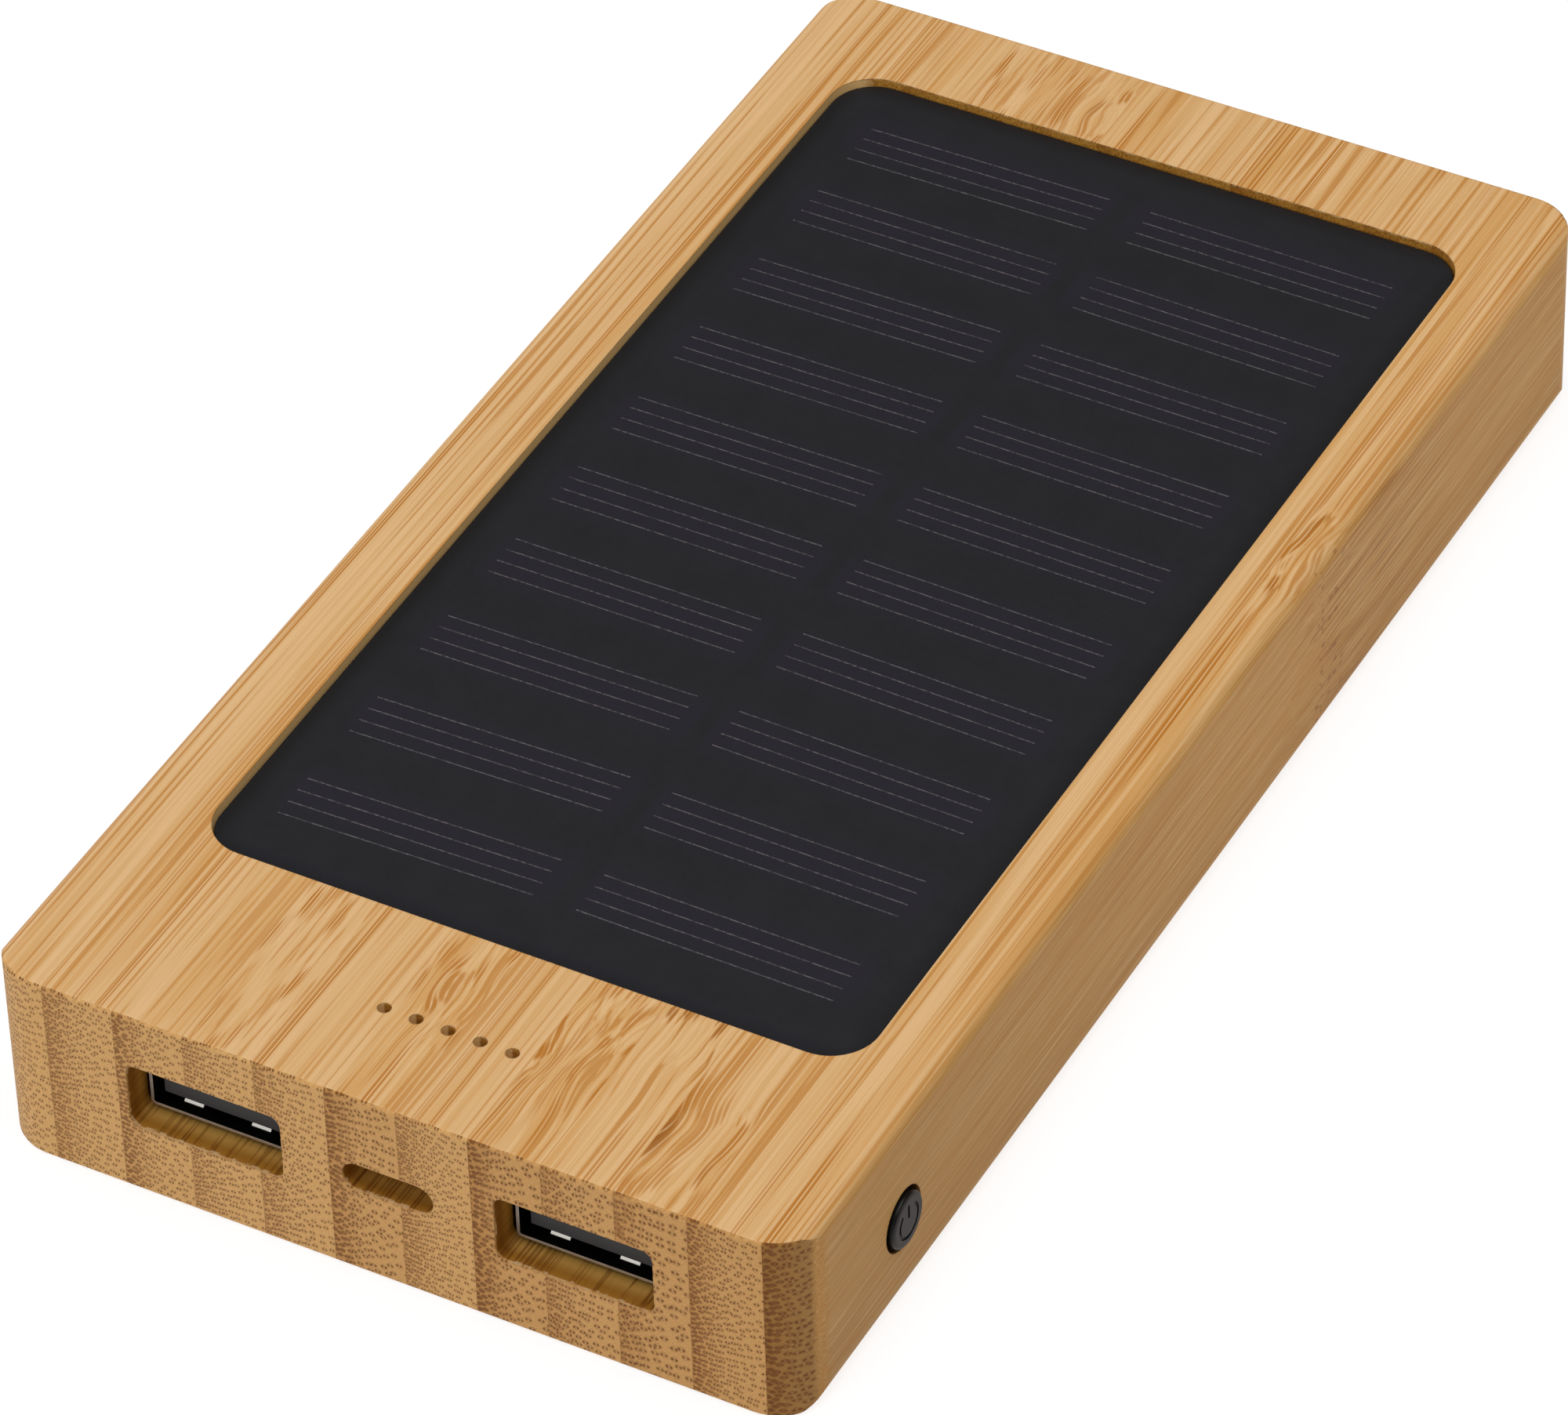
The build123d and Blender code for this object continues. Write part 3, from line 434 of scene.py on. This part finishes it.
class BambooPaint(Paint):
    """Strips glued side by side. One field of fibre bundles gives end grain and long grain alike."""

    def __init__(self, name, seed):
        super().__init__(name)
        self.seed = seed
        self.x, self.y, self.z = self.split(self.place())
        self.facing_x, self.facing_y, _ = self.facing()
        self.flank = self.rise(abs(self.facing_x), *FLANK_FACING)
        across, lengthwise = FIBRES
        spread = self.vector(self.x * across, self.y * lengthwise, self.z * across)
        self.fibre = self.noise(spread, 1.0, 2.0, 0.6)

    def read_strip(self):
        """Which strip this is, and everything that differs from strip to strip."""
        across = (self.x - (STRIP_FIRST - STRIP_W)) / STRIP_W
        index = self.math("FLOOR", across)
        self.inside = (across - index) * STRIP_W        # mm from the dense side of the strip
        self.seam = self.rise(self.least(self.inside, STRIP_W - self.inside), *SEAM)
        share = (index + 0.5) / len(STRIPS)
        self.dense_side, self.dive, self.tone = self.steps(share, STRIPS)
        half_size, self.line_share, self.hair_share = self.steps(share, GRAIN)
        self.size = half_size * 2
        node_y, self.node_force, self.node_reach = self.steps(share, NODES)
        self.joint_y = (node_y - 0.5) * BODY_LENGTH
        chance = self.node("TexWhiteNoise", noise_dimensions="1D")
        self.feed(chance.inputs["W"], index + self.seed)
        self.luck, _, _ = self.split(Wire(self, chance.outputs["Color"]))
        self.apart = index * STRIP_APART + self.seed

    def along(self, x, z, across, lengthwise):
        """A place for noise, with this many features per mm across the fibres and along them."""
        return self.vector(x * across, self.y * lengthwise, z * across + self.apart)

    def bend_fibres(self):
        """The fibres wander slowly, and round a node they swerve and dive."""
        x, y, z = self.x, self.y, self.z
        reach = self.node_reach * NODE_REACH + NODE_REACH_LEAST
        self.near_node = self.rise(abs(y - self.joint_y), reach, 0.0) * self.node_force
        slow = self.noise(self.along(x, z, *SLOW_DRIFT), 1.0, 1.0, 0.5, "Color")
        quick = self.noise(self.along(x, z, *QUICK_DRIFT), 1.0, 1.0, 0.5, "Color")
        drift_x, drift_z, _ = self.split(slow)
        swerve_x, swerve_z, self.swerve = self.split(quick)
        drifted = self.inside + (drift_x - 0.5) * WANDER
        self.moved = drifted + (swerve_x - 0.5) * self.near_node * NODE_SWERVE
        lifted = z + y * self.dive * DIVE + (drift_z - 0.5) * WANDER_LIFT
        self.level = lifted + (swerve_z - 0.5) * self.near_node * NODE_LIFT

    def find_bundle(self):
        """Bundles spread apart evenly both ways from the dense side; how far is the nearest one."""
        shrink = self.math("EXPONENT", self.moved * -FLARE)
        turn = self.level * FLARE + self.luck * (2 * pi)
        turn_cos = self.math("COSINE", turn)
        turn_sin = self.math("SINE", turn)
        wide = shrink / (self.size * FLARE)
        spot = self.vector(wide * turn_cos, wide * turn_sin, 0.0)
        found = self.voronoi(spot, 1 / BUNDLE_PITCH, BUNDLE_JITTER, "2D", ("Position", "Color"))
        centre, chance = found
        self.bundle_luck, self.bundle_tone, _ = self.split(chance)
        away = self.node("VectorMath", operation="SUBTRACT")
        self.feed(away.inputs[0], spot)
        self.feed(away.inputs[1], centre)
        away_x, away_y, _ = self.split(Wire(self, away.outputs[0]))
        side = abs(away_x * turn_cos + away_y * turn_sin) / shrink
        lift = (away_y * turn_cos - away_x * turn_sin) / shrink
        self.radius = self.length(side, lift)
        self.eye = self.length(side - BUNDLE_EYE, lift)
        self.dense = self.rise(self.moved, DENSE_REACH, 0.0) * self.dense_side

    def find_cuts(self):
        """Where the wood was cut out, how its cut faces are tinted, with painted shade and painted
        light, where the left wall of the pocket is painted pale, and where the edges are chipped.
        """
        below_top = (BODY_HIGH.z / MM) - self.z
        out_x = self.most(abs(self.x) - (BODY_HIGH.x / MM - PLAN_CORNER_R), 0.0)
        out_y = self.most(abs(self.y) - (BODY_HIGH.y / MM - PLAN_CORNER_R), 0.0)
        from_rim = self.length(out_x, out_y) * -1.0 + PLAN_CORNER_R
        in_pocket = self.rise(from_rim, *POCKET_INSIDE)
        under_rounding = self.rise(below_top, *UNDER_ROUNDING)
        over_base = self.rise(self.z - cad_low.z / MM, *OVER_ROUNDING)

        # painted light: the left wall of the pocket is painted pale, like its lip
        pocket = in_pocket * self.rise(below_top, *UNDER_RIM)
        left_wall = self.rise(self.facing_x, *RIGHT_FACING) * self.rise(below_top, *POCKET_WALL_FOOT)
        self.painted_wall_light = pocket * left_wall
        opening = self.rise(from_rim, *MOUTH_INSIDE) * under_rounding
        self.cut = self.most(pocket - self.painted_wall_light, opening) * over_base
        # painted shade at the mouths of the cut-outs and painted light further in, over the amber of
        # sawn wood
        self.cut_tint_and_light = self.mix(CUT_RIM_SHADE, CUT_DEEP_LIGHT, self.rise(from_rim, *CUT_LIGHT_FADE))

        mouth = self.bump_at(from_rim, *CHIPPED_MOUTH) * under_rounding
        pocket_lip = self.bump_at(below_top, *CHIPPED_LIP) * in_pocket
        broken = self.rise(self.noise(self.vector(self.x, self.y, self.z), 1.1, 2.0, 0.6), *BROKEN)
        self.chip = self.most(mouth, pocket_lip) * broken * over_base

    def end_grain(self):
        """Pairs of dark eyes, which run together on the dense side of a strip."""
        eyes = self.rise(self.eye, self.tone * 0.03 + EYE_R, EYE_CORE_R)
        ring = self.bump_at(self.radius, RING_R, RING_W) * 0.4
        apart = self.most(eyes, ring) * self.blend(0.8, 1.0, self.bundle_tone)
        together = self.rise(self.radius, *BUNDLE_FILL) * self.dense
        self.end_ink = self.most(apart, together) * self.blend(1.0, 0.3, self.cut)
        speck = self.noise(self.vector(self.x * 6.0, self.y * 2.0, self.z * 6.0), 1.0, 3.0, 0.65)
        return self.layers(
            self.mix(END_PALE, END_DEEP, self.tone * 0.55 + self.dense * 0.4),
            (END_DEEP, self.rise(speck, 0.45, 0.75) * 0.5),
            (LONG_BRIGHT, self.rise(speck, 0.48, 0.25) * 0.3),
            # the strip beside the right side is the darkest, and sawn fibres are rough and brown
            (END_OLIVE, self.rise(self.tone, 0.7, 1.0) * 0.6),
            (LONG_SCAR, self.rise(speck, 0.48, 0.60) * self.cut * 0.5),
            # the vessels between the two eyes are cut open and look pale
            (LONG_BRIGHT, self.rise(self.radius, *VESSELS) * 0.15),
            (END_DOT, self.most(self.end_ink * 0.92, self.seam * 0.35)),
        )

    def long_grain(self):
        """Streaks along the strip, and over them the bundles, which show as dark lines."""
        bands = self.noise(self.along(self.moved, self.level, *BROAD_BANDS), 1.0, 2.0, 0.55)
        fine = self.noise(self.along(self.moved, self.level, *FINE_HAIRS), 1.0)
        base = self.layers(
            self.mix(LONG_PALE, LONG_DEEP, self.rise(bands, 0.40, 0.70) * 0.55 + self.tone * 0.40),
            (LONG_BRIGHT, self.rise(self.fibre, 0.5, 0.75) * 0.3),
            (LONG_DEEP, self.rise(self.fibre, 0.48, 0.25) * 0.25),
            (LONG_BRIGHT, self.rise(fine, 0.53, 0.59) * self.hair_share * 0.4),
            (LONG_DEEP, self.rise(fine, 0.48, 0.42) * self.hair_share * 0.5),
            # cut faces start paler: painted light inside the cut-outs
            (LONG_BRIGHT, self.cut * 0.7),
        )

        shown = self.line_share + self.near_node * 0.4 + self.dense * 0.15 + self.cut * 0.35
        chosen = self.rise(self.bundle_luck - 1.0 + shown, -0.08, 0.10)
        reach = self.near_node * 0.04 + EYE_R
        line = self.rise(self.eye, reach, reach * 0.4) * chosen * self.blend(0.5, 1.0, self.bundle_tone)
        line = self.most(line, self.rise(fine, 0.42, 0.39) * self.hair_share * 0.6)
        line = self.most(line, self.rise(fine, 0.46, 0.41) * self.cut * 0.55)
        line = line * self.blend(1.0, 0.45, self.flank) * self.blend(1.0, 0.8, self.cut)
        self.long_ink = self.most(line, self.seam * 0.45)
        core = self.rise(self.radius, *LINE_CORE) * chosen
        return self.layers(
            self.flank_tone(base),
            (self.mix(LONG_LINE, LONG_SCAR, self.cut), self.long_ink),
            (LONG_BRIGHT, core * self.blend(0.5, 0.2, self.flank)),
            (LONG_SCAR, self.near_node * self.rise(self.swerve, 0.50, 0.68) * line * 0.7),
            (LONG_SCAR, self.node_pits() * self.flank * 0.85),
        )

    def flank_tone(self, base):
        """The flanks were next to the skin of the cane: even and golden, with few dark lines. Painted
        shade darkens them, more at the near end and the base.
        """
        near_end_shade = self.rise(self.y, *NEAR_END_SHADE)
        foot_shade = self.rise(self.z - cad_low.z / MM, *FOOT)
        past_joint = self.y - self.joint_y
        stained = self.rise(past_joint, *STAIN_START) * self.rise(past_joint, *STAIN_END) * self.flank
        stained = stained * self.rise(self.node_force, *STRONG_NODE)
        return self.layers(
            base,
            # golden flanks, partly darkened by painted shade
            (FLANK_GOLD_AND_SHADE, self.flank * 0.8),
            (LONG_BRIGHT, self.rise(self.fibre, 0.50, 0.66) * self.flank * 0.38),
            (LONG_SCAR, self.rise(self.fibre, 0.46, 0.32) * self.flank * 0.28),
            # painted shade: darker towards the near end and the base
            (END_OLIVE, (near_end_shade * 0.24 + foot_shade * 0.16) * self.flank),
            (LONG_SCAR, self.rise(self.fibre, 0.53, 0.36) * stained * 0.6),
        )

    def node_pits(self):
        """Where a flank crosses a node: a row of small dark pits up the joint, fewer beyond it."""
        wander = self.noise(self.vector(0.0, 0.0, self.z * 0.35), 1.0, 1.0)
        past_joint = self.y - self.joint_y - (wander - 0.5) * 3.0
        on_joint = self.bump_at(past_joint, *PIT_ROW)
        beyond = self.bump_at(past_joint, *PITS_BEYOND) * 0.6
        spots = self.vector(self.y * 0.55, self.z, 0.0)
        hollow, chance = self.voronoi(spots, 1.5, 1.0, "2D", ("Distance", "Color"))
        luck, _, _ = self.split(chance)
        size = self.rise(luck, 0.3, 1.0) * 0.32 + 0.13
        pits = self.rise(hollow, size, size * 0.4)
        share = self.most(on_joint, beyond * self.rise(luck, 0.75, 0.85))
        return pits * share * self.rise(self.node_force, *STRONG_NODE)


def bamboo(name, seed=0.0):
    paint = BambooPaint(name, seed)
    paint.read_strip()
    paint.bend_fibres()
    paint.find_bundle()
    paint.find_cuts()
    end_colour = paint.end_grain()
    long_colour = paint.long_grain()

    # which way the surface faces decides between end grain and long grain
    end = paint.rise(abs(paint.facing_y), *END_FACING)
    colour = paint.mix(long_colour, end_colour, end)
    # the cut faces take their tint, with its painted shade and painted light
    colour = paint.mix(colour, paint.cut_tint_and_light, paint.cut, "MULTIPLY")
    # pale chips on the cut edges, then painted light on the left wall of the pocket
    paint.colour(paint.layers(colour, (CHIP_PALE, paint.chip * 0.6), (WALL_LIGHT_PALE, paint.painted_wall_light * 0.9)))
    paint.set(roughness=paint.blend(0.5, 0.64, paint.fibre), specular=0.12)
    height = paint.fibre * 0.5 - paint.blend(paint.long_ink, paint.end_ink, end) * 0.5
    paint.relief(height, 0.03, 0.6, edge=0.2)
    return paint.material


# ---------------------------------------------------------------- solar panel
CELL_ROWS = 10
CELL_W = 26.5
CELL_PITCH = (CELLS_HIGH.y - CELLS_LOW.y) / CELL_ROWS     # in metres, from the frame
BAND_PLACE = 0.64           # height of the faint band in its row, and how far it fades, as shares
BAND_REACH = 0.45
BAND_START = (0.4, 1.2)     # from the middle of the field, where a band sets in and where it ends
BAND_END = (27.5, 26.0)
RIM_SHADE_W = 2.4
LINES_PER_CELL = 4
LINE_W = 0.13
LINE_PROUD = 0.012          # thickness of a printed line above the film
LINE_MARGIN = 1.4           # from the side of the cell to the end of a line
LINE_PITCH = 1.57
FIELD_SHIFT = -1.05         # the field lies askew: its nearest row sits this far off centre
FIELD_LEAN = 0.1            # and each row beyond it sits this much further to the right
# the cells were laid by hand: how far the lines of the left and of the right cell sit above the
# middle of their row, and how far each set rises to the right; one row of cells after another
LINE_ROWS = (
    (0.8, 1.0, 0.6, -0.2), (1.3, 1.3, 0.6, -0.3), (1.9, 1.7, 0.3, -0.5), (2.1, 1.8, 0.0, -0.6),
    (1.9, 1.6, 0.0, -0.5), (1.6, 1.4, 0.1, -0.4), (1.6, 1.4, 0.2, -0.3), (1.4, 1.4, 0.3, -0.2),
    (1.2, 0.9, 0.0, -0.5), (0.4, 0.4, 0.3, -0.2),
)


def panel_film(name):
    """Dark film over the cells: satin, faintly pebbled, with some dust and painted shade along its
    edges.
    """
    paint = Paint(name)
    place = paint.place()
    cloud = paint.noise(place, 0.35, 3.0)
    x, y, _ = paint.split(place)
    # the cells show through as faint purple bands
    row = (y - CELLS_LOW.y / MM) / (CELL_PITCH / MM)
    band = paint.bump_at(paint.math("FRACT", row), BAND_PLACE, BAND_REACH)
    middle = (CELLS_LOW.x + CELLS_HIGH.x) / 2 / MM + FIELD_SHIFT + FIELD_LEAN * CELL_ROWS / 2
    from_middle = abs(x - middle)
    on_cells = paint.rise(from_middle, *BAND_START) * paint.rise(from_middle, *BAND_END)
    low, high = SHEET_LOW / MM, SHEET_HIGH / MM
    from_side = paint.least(x - low.x, high.x - x)
    from_end = paint.least(y - low.y, high.y - y)
    near_rim = paint.rise(paint.least(from_side, from_end), RIM_SHADE_W, 0.0)
    dust = paint.rise(paint.voronoi(place, 2.6), 0.07, 0.02)
    dust = dust * paint.rise(paint.noise(place, 0.5), 0.5, 0.7)
    paint.colour(paint.layers(
        paint.mix(srgb(28, 28, 31), srgb(34, 34, 37), cloud),
        (srgb(35, 32, 42), band * on_cells * 0.7),
        # painted shade: the film is darker near the rim of the pocket
        (srgb(16, 16, 16), near_rim * 0.5),
        (srgb(150, 145, 138), dust * (near_rim * 0.6 + 0.1)),
    ))
    peel = paint.noise(place, 2.2, 3.0, 0.6)
    paint.set(roughness=paint.blend(0.36, 0.50, peel), specular=0.2)
    paint.relief(peel, 0.02, 0.8, edge=0.15)
    return paint.material


def silver_print():
    """Printed conductor lines: grey silver paste, thinner and broken in places."""
    paint = Paint("silver_print")
    x, y, z = paint.split(paint.place())
    broken = paint.noise(paint.vector(x * 3.0, y * 6.0, z), 1.0, 3.0, 0.7)
    paint.colour(paint.mix(srgb(48, 45, 50), srgb(98, 92, 94), paint.rise(broken, 0.38, 0.62)))
    paint.set(roughness=0.55, metallic=0.2, specular=0.3)
    paint.relief(broken, 0.01, 0.6)
    return paint.material


# corners of a strip: left then right end, near then far side, all low and then all high
STRIP_FACES = ((0, 1, 3, 2), (4, 6, 7, 5), (0, 2, 6, 4), (1, 5, 7, 3), (0, 4, 5, 1), (2, 3, 7, 6))


def add_strip(build, left, right, half_w, low_z, high_z):
    """A thin closed strip from one (x, y) end to the other."""
    corners = []
    for z in (low_z, high_z):
        for x, y in (left, right):
            corners.append(build.verts.new((x, y - half_w, z)))
            corners.append(build.verts.new((x, y + half_w, z)))
    for face in STRIP_FACES:
        build.faces.new([corners[index] for index in face])


def add_cell_lines():
    """Four thin printed lines across every cell, as low strips lying on the film."""
    low, high = CELLS_LOW, CELLS_HIGH
    build = bmesh.new()
    for row, (left_shift, right_shift, left_rise, right_rise) in enumerate(LINE_ROWS):
        row_y = low.y + (row + 0.5) * CELL_PITCH
        askew = (FIELD_SHIFT + FIELD_LEAN * row) * MM
        sides = ((low.x, left_shift, left_rise), (high.x - CELL_W * MM, right_shift, right_rise))
        for cell_x, shift, rise in sides:
            left = cell_x + askew + LINE_MARGIN * MM
            right = cell_x + askew + (CELL_W - LINE_MARGIN) * MM
            slant = rise * MM / 2
            for line in range(LINES_PER_CELL):
                from_middle = (line - (LINES_PER_CELL - 1) / 2) * LINE_PITCH
                y = row_y + (shift + from_middle) * MM
                add_strip(build, (left, y - slant), (right, y + slant), LINE_W * MM / 2,
                          SHEET_HIGH.z, SHEET_HIGH.z + LINE_PROUD * MM)
    mesh = bpy.data.meshes.new("cell_grid_lines")
    build.to_mesh(mesh)
    build.free()
    lines = bpy.data.objects.new("cell_grid_lines", mesh)
    bpy.context.scene.collection.objects.link(lines)
    mesh.materials.append(silver_print())
    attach(lines, "case")


def silicon(name):
    """Dark blue cells with the faint bands of the crystal."""
    paint = Paint(name)
    x, y, z = paint.split(paint.place())
    bands = paint.noise(paint.vector(x * 0.2, y * 2.0, z), 1.0, 3.0)
    paint.colour(paint.mix(srgb(22, 24, 44), srgb(36, 38, 66), bands))
    paint.set(roughness=paint.blend(0.2, 0.3, bands), specular=0.5)
    paint.relief(bands, 0.003, 0.4)
    return paint.material


# ---------------------------------------------------------------- plastics, boards and soft parts
def plastic(name, colour, worn, roughness):
    """Moulded plastic: a fine spark-eroded grain and a slightly paler tone in patches."""
    paint = Paint(name)
    place = paint.place()
    patch = paint.noise(place, 0.4, 3.0)
    fine = paint.noise(place, 12.0)
    paint.colour(paint.mix(colour, worn, patch * 0.6 + fine * 0.4))
    paint.set(roughness=paint.blend(roughness - 0.06, roughness + 0.06, patch), specular=0.35)
    paint.relief(fine, 0.01, 0.6, edge=0.1)
    return paint.material


def board(name, mask, copper, weave_size):
    """Glass-fibre board: lacquer over copper areas, with the weave of the cloth just showing."""
    paint = Paint(name)
    x, y, z = paint.split(paint.place())
    turns = 2 * pi / weave_size
    weave = paint.math("SINE", x * turns) * paint.math("SINE", y * turns)
    step = paint.vector(paint.math("SNAP", x, 1.3), paint.math("SNAP", y, 0.7), z * 0.1)
    tracks = paint.rise(paint.noise(step, 0.35, 1.0), 0.50, 0.54)
    paint.colour(paint.mix(mask, copper, tracks * 0.7 + weave * 0.1))
    paint.set(roughness=paint.blend(0.30, 0.38, tracks), specular=0.5)
    paint.relief(tracks * 0.8 + weave * 0.1, 0.02, 0.5, edge=0.05)
    return paint.material


def foam(name):
    """Open-cell foam strip with small dark pores."""
    paint = Paint(name)
    place = paint.place()
    cells = paint.voronoi(place, 2.2)
    paint.colour(paint.mix(srgb(22, 22, 23), srgb(62, 62, 64), paint.rise(cells, 0.1, 0.45)))
    paint.set(roughness=0.95, specular=0.15, sheen=0.2)
    paint.relief(paint.rise(cells, 0.05, 0.4), 0.2, 0.8)
    return paint.material


def tape(name, colour, folded, roughness):
    """Thin tape with shallow creases and a slightly darker fold here and there."""
    paint = Paint(name)
    x, y, z = paint.split(paint.place())
    crease = paint.noise(paint.vector(x * 0.3, y * 1.2, z * 0.3), 1.0, 3.0, 0.6)
    paint.colour(paint.mix(colour, folded, paint.rise(crease, 0.45, 0.7)))
    paint.set(roughness=paint.blend(roughness, roughness + 0.12, crease), specular=0.5)
    paint.relief(crease, 0.05, 0.6, edge=0.05)
    return paint.material


def pouch_laminate(name):
    """Aluminium laminate of a pouch cell, satin, with the soft dents of the stack inside."""
    paint = Paint(name)
    place = paint.place()
    dents = paint.noise(place, 0.12, 2.0)
    satin = paint.noise(place, 6.0, 2.0)
    paint.colour(paint.mix(srgb(168, 170, 174), srgb(194, 195, 198), dents))
    paint.set(metallic=0.8, roughness=paint.blend(0.38, 0.5, satin))
    paint.relief(dents, 0.3, 0.5, edge=0.2)
    return paint.material


def resin(name):
    """Cloudy resin of the small lights, a little yellower in patches."""
    paint = Paint(name)
    cloud = paint.noise(paint.place(), 2.0, 2.0)
    paint.colour(paint.mix(srgb(214, 212, 200), srgb(190, 184, 160), cloud))
    paint.set(roughness=0.25, subsurface=0.3, subsurface_scale=0.5 * MM, specular=0.5)
    paint.relief(cloud, 0.01, 0.4, edge=0.05)
    return paint.material


def ceramic(name, colour, fired, roughness):
    """Fired body with a fine speckle."""
    paint = Paint(name)
    place = paint.place()
    speckle = paint.noise(place, 9.0, 3.0, 0.7)
    paint.colour(paint.mix(colour, fired, paint.rise(speckle, 0.4, 0.65)))
    paint.set(roughness=paint.blend(roughness, roughness + 0.1, speckle), specular=0.4)
    paint.relief(speckle, 0.02, 0.6, edge=0.04)
    return paint.material


def button_plastic(name):
    """Black cap: the face has a soft matt finish, the side is smooth and painted darker, as painted
    shade.
    """
    paint = Paint(name)
    place = paint.place()
    grain = paint.noise(place, 14.0, 2.0)
    facing_x, _, _ = paint.facing()
    face = paint.rise(facing_x, 0.55, 0.85)
    matt = paint.mix(srgb(44, 39, 36), srgb(56, 50, 47), grain)
    # the side of the cap is painted near black: painted shade in the gap round it
    paint.colour(paint.mix(srgb(9, 8, 8), matt, face))
    paint.set(roughness=paint.blend(0.35, 0.6, face), specular=0.2)
    paint.relief(grain, 0.008, 0.6, edge=0.08)
    return paint.material


# ---------------------------------------------------------------- metals
def metal(name, colour, stained, roughness, streak=(12.0, 0.6, 12.0)):
    """Drawn or plated metal, with fine lines along the way it was rolled."""
    paint = Paint(name)
    x, y, z = paint.split(paint.place())
    lines = paint.noise(paint.vector(x * streak[0], y * streak[1], z * streak[2]), 1.0, 3.0)
    stain = paint.noise(paint.vector(x, y, z), 0.5, 3.0)
    paint.colour(paint.mix(colour, stained, stain))
    paint.set(metallic=1.0, roughness=paint.blend(roughness - 0.08, roughness + 0.1, lines))
    paint.relief(lines, 0.006, 0.5, edge=0.05)
    return paint.material


SHELL_WALL = 0.3
LEAF_REACH = (5.0, 4.8)     # the leaf springs lie this near the middle of their socket, or nearer
LEAF_FOOT = (0.03, 0.08)    # and between these heights over the floor of the shell
LEAF_TOP = (1.0, 0.9)


def socket_shell_steel(name):
    """Nickel-plated shell, painted black inside as painted shade; its bent leaf springs are worn bright
    by plugs and painted brighter still, as a painted highlight.
    """
    paint = Paint(name)
    x, y, z = paint.split(paint.place())
    low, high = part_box("usb_a_left_shell")
    floor_z = low.z / MM + SHELL_WALL
    socket_x = abs(low.x + high.x) / 2 / MM
    from_middle = abs(abs(x) - socket_x)
    leaf = paint.rise(z - floor_z, *LEAF_FOOT) * paint.rise(z - floor_z, *LEAF_TOP)
    leaf = leaf * paint.rise(from_middle, *LEAF_REACH)
    _, facing_y, _ = paint.facing()
    lip = paint.rise(abs(facing_y), 0.75, 0.95)
    rolled = paint.noise(paint.vector(x * 2.0, y * 8.0, z * 8.0), 1.0, 3.0)
    # painted shade: the inner walls are painted near black
    inner_wall_shade = paint.mix(srgb(20, 18, 18), srgb(44, 41, 38), rolled)
    plated = paint.mix(srgb(172, 164, 152), srgb(206, 200, 190), rolled)
    # the leaf springs: worn metal, painted brighter as a painted highlight
    rubbed_and_glint = paint.mix(srgb(226, 222, 212), srgb(246, 243, 236), rolled)
    paint.colour(paint.layers(inner_wall_shade, (plated, lip), (rubbed_and_glint, leaf)))
    paint.set(metallic=paint.blend(0.9, 1.0, leaf), roughness=paint.blend(0.34, 0.45, rolled))
    paint.relief(rolled, 0.006, 0.5, edge=0.05)
    return paint.material


# ---------------------------------------------------------------- what gets which material
# name of the slot, then what makes its material and with which values
RECIPES = {
    "bamboo": (bamboo,),
    "steel_screws": (metal, srgb(150, 148, 146), srgb(112, 110, 108), 0.32),
    "panel_film": (panel_film,),
    "silicon": (silicon,),
    "glass_epoxy_black": (board, srgb(20, 21, 22), srgb(34, 35, 37), 0.5),
    "adhesive_tape": (tape, srgb(34, 33, 32), srgb(24, 23, 22), 0.6),
    "solder": (metal, srgb(186, 188, 190), srgb(140, 141, 142), 0.3, (3.0, 3.0, 3.0)),
    "insulation_black": (plastic, srgb(22, 22, 23), srgb(38, 38, 39), 0.45),
    "insulation_red": (plastic, srgb(150, 24, 20), srgb(174, 42, 34), 0.45),
    "circuit_board_green": (board, srgb(14, 66, 36), srgb(30, 96, 52), 0.6),
    "led_resin": (resin,),
    "component_black": (plastic, srgb(24, 24, 25), srgb(40, 40, 41), 0.6),
    "ferrite": (ceramic, srgb(46, 44, 43), srgb(66, 63, 61), 0.6),
    "tinned_copper": (metal, srgb(196, 192, 184), srgb(160, 148, 130), 0.3),
    "capacitor_ceramic": (ceramic, srgb(158, 124, 88), srgb(176, 144, 108), 0.45),
    "capacitor_can": (metal, srgb(196, 198, 200), srgb(170, 172, 174), 0.28),
    "socket_shell_steel": (socket_shell_steel,),
    "socket_plastic": (plastic, srgb(44, 43, 45), srgb(60, 59, 62), 0.5),
    "gold_contact": (metal, srgb(222, 180, 92), srgb(196, 150, 70), 0.28),
    "switch_plastic": (plastic, srgb(30, 30, 31), srgb(46, 46, 47), 0.5),
    "spring_steel": (metal, srgb(176, 176, 174), srgb(146, 145, 142), 0.3),
    "button_plastic": (button_plastic,),
    "pouch_laminate": (pouch_laminate,),
    "nickel": (metal, srgb(190, 186, 176), srgb(158, 153, 143), 0.3),
    "insulating_tape": (tape, srgb(186, 122, 34), srgb(160, 98, 22), 0.3),
    "foam": (foam,),
}
MATERIALS = {name: make(name, *values) for name, (make, *values) in RECIPES.items()}
COVER_SEED = 31.0           # the cover is cut from other strips than the body


add_camera()
add_studio()
for node in nodes.values():
    for slot in node.material_slots:
        slot.material = MATERIALS[slot.material.name.split(".")[0]]
nodes["bamboo_bottom_cover"].material_slots[0].material = bamboo("bamboo_cover", COVER_SEED)
add_cell_lines()
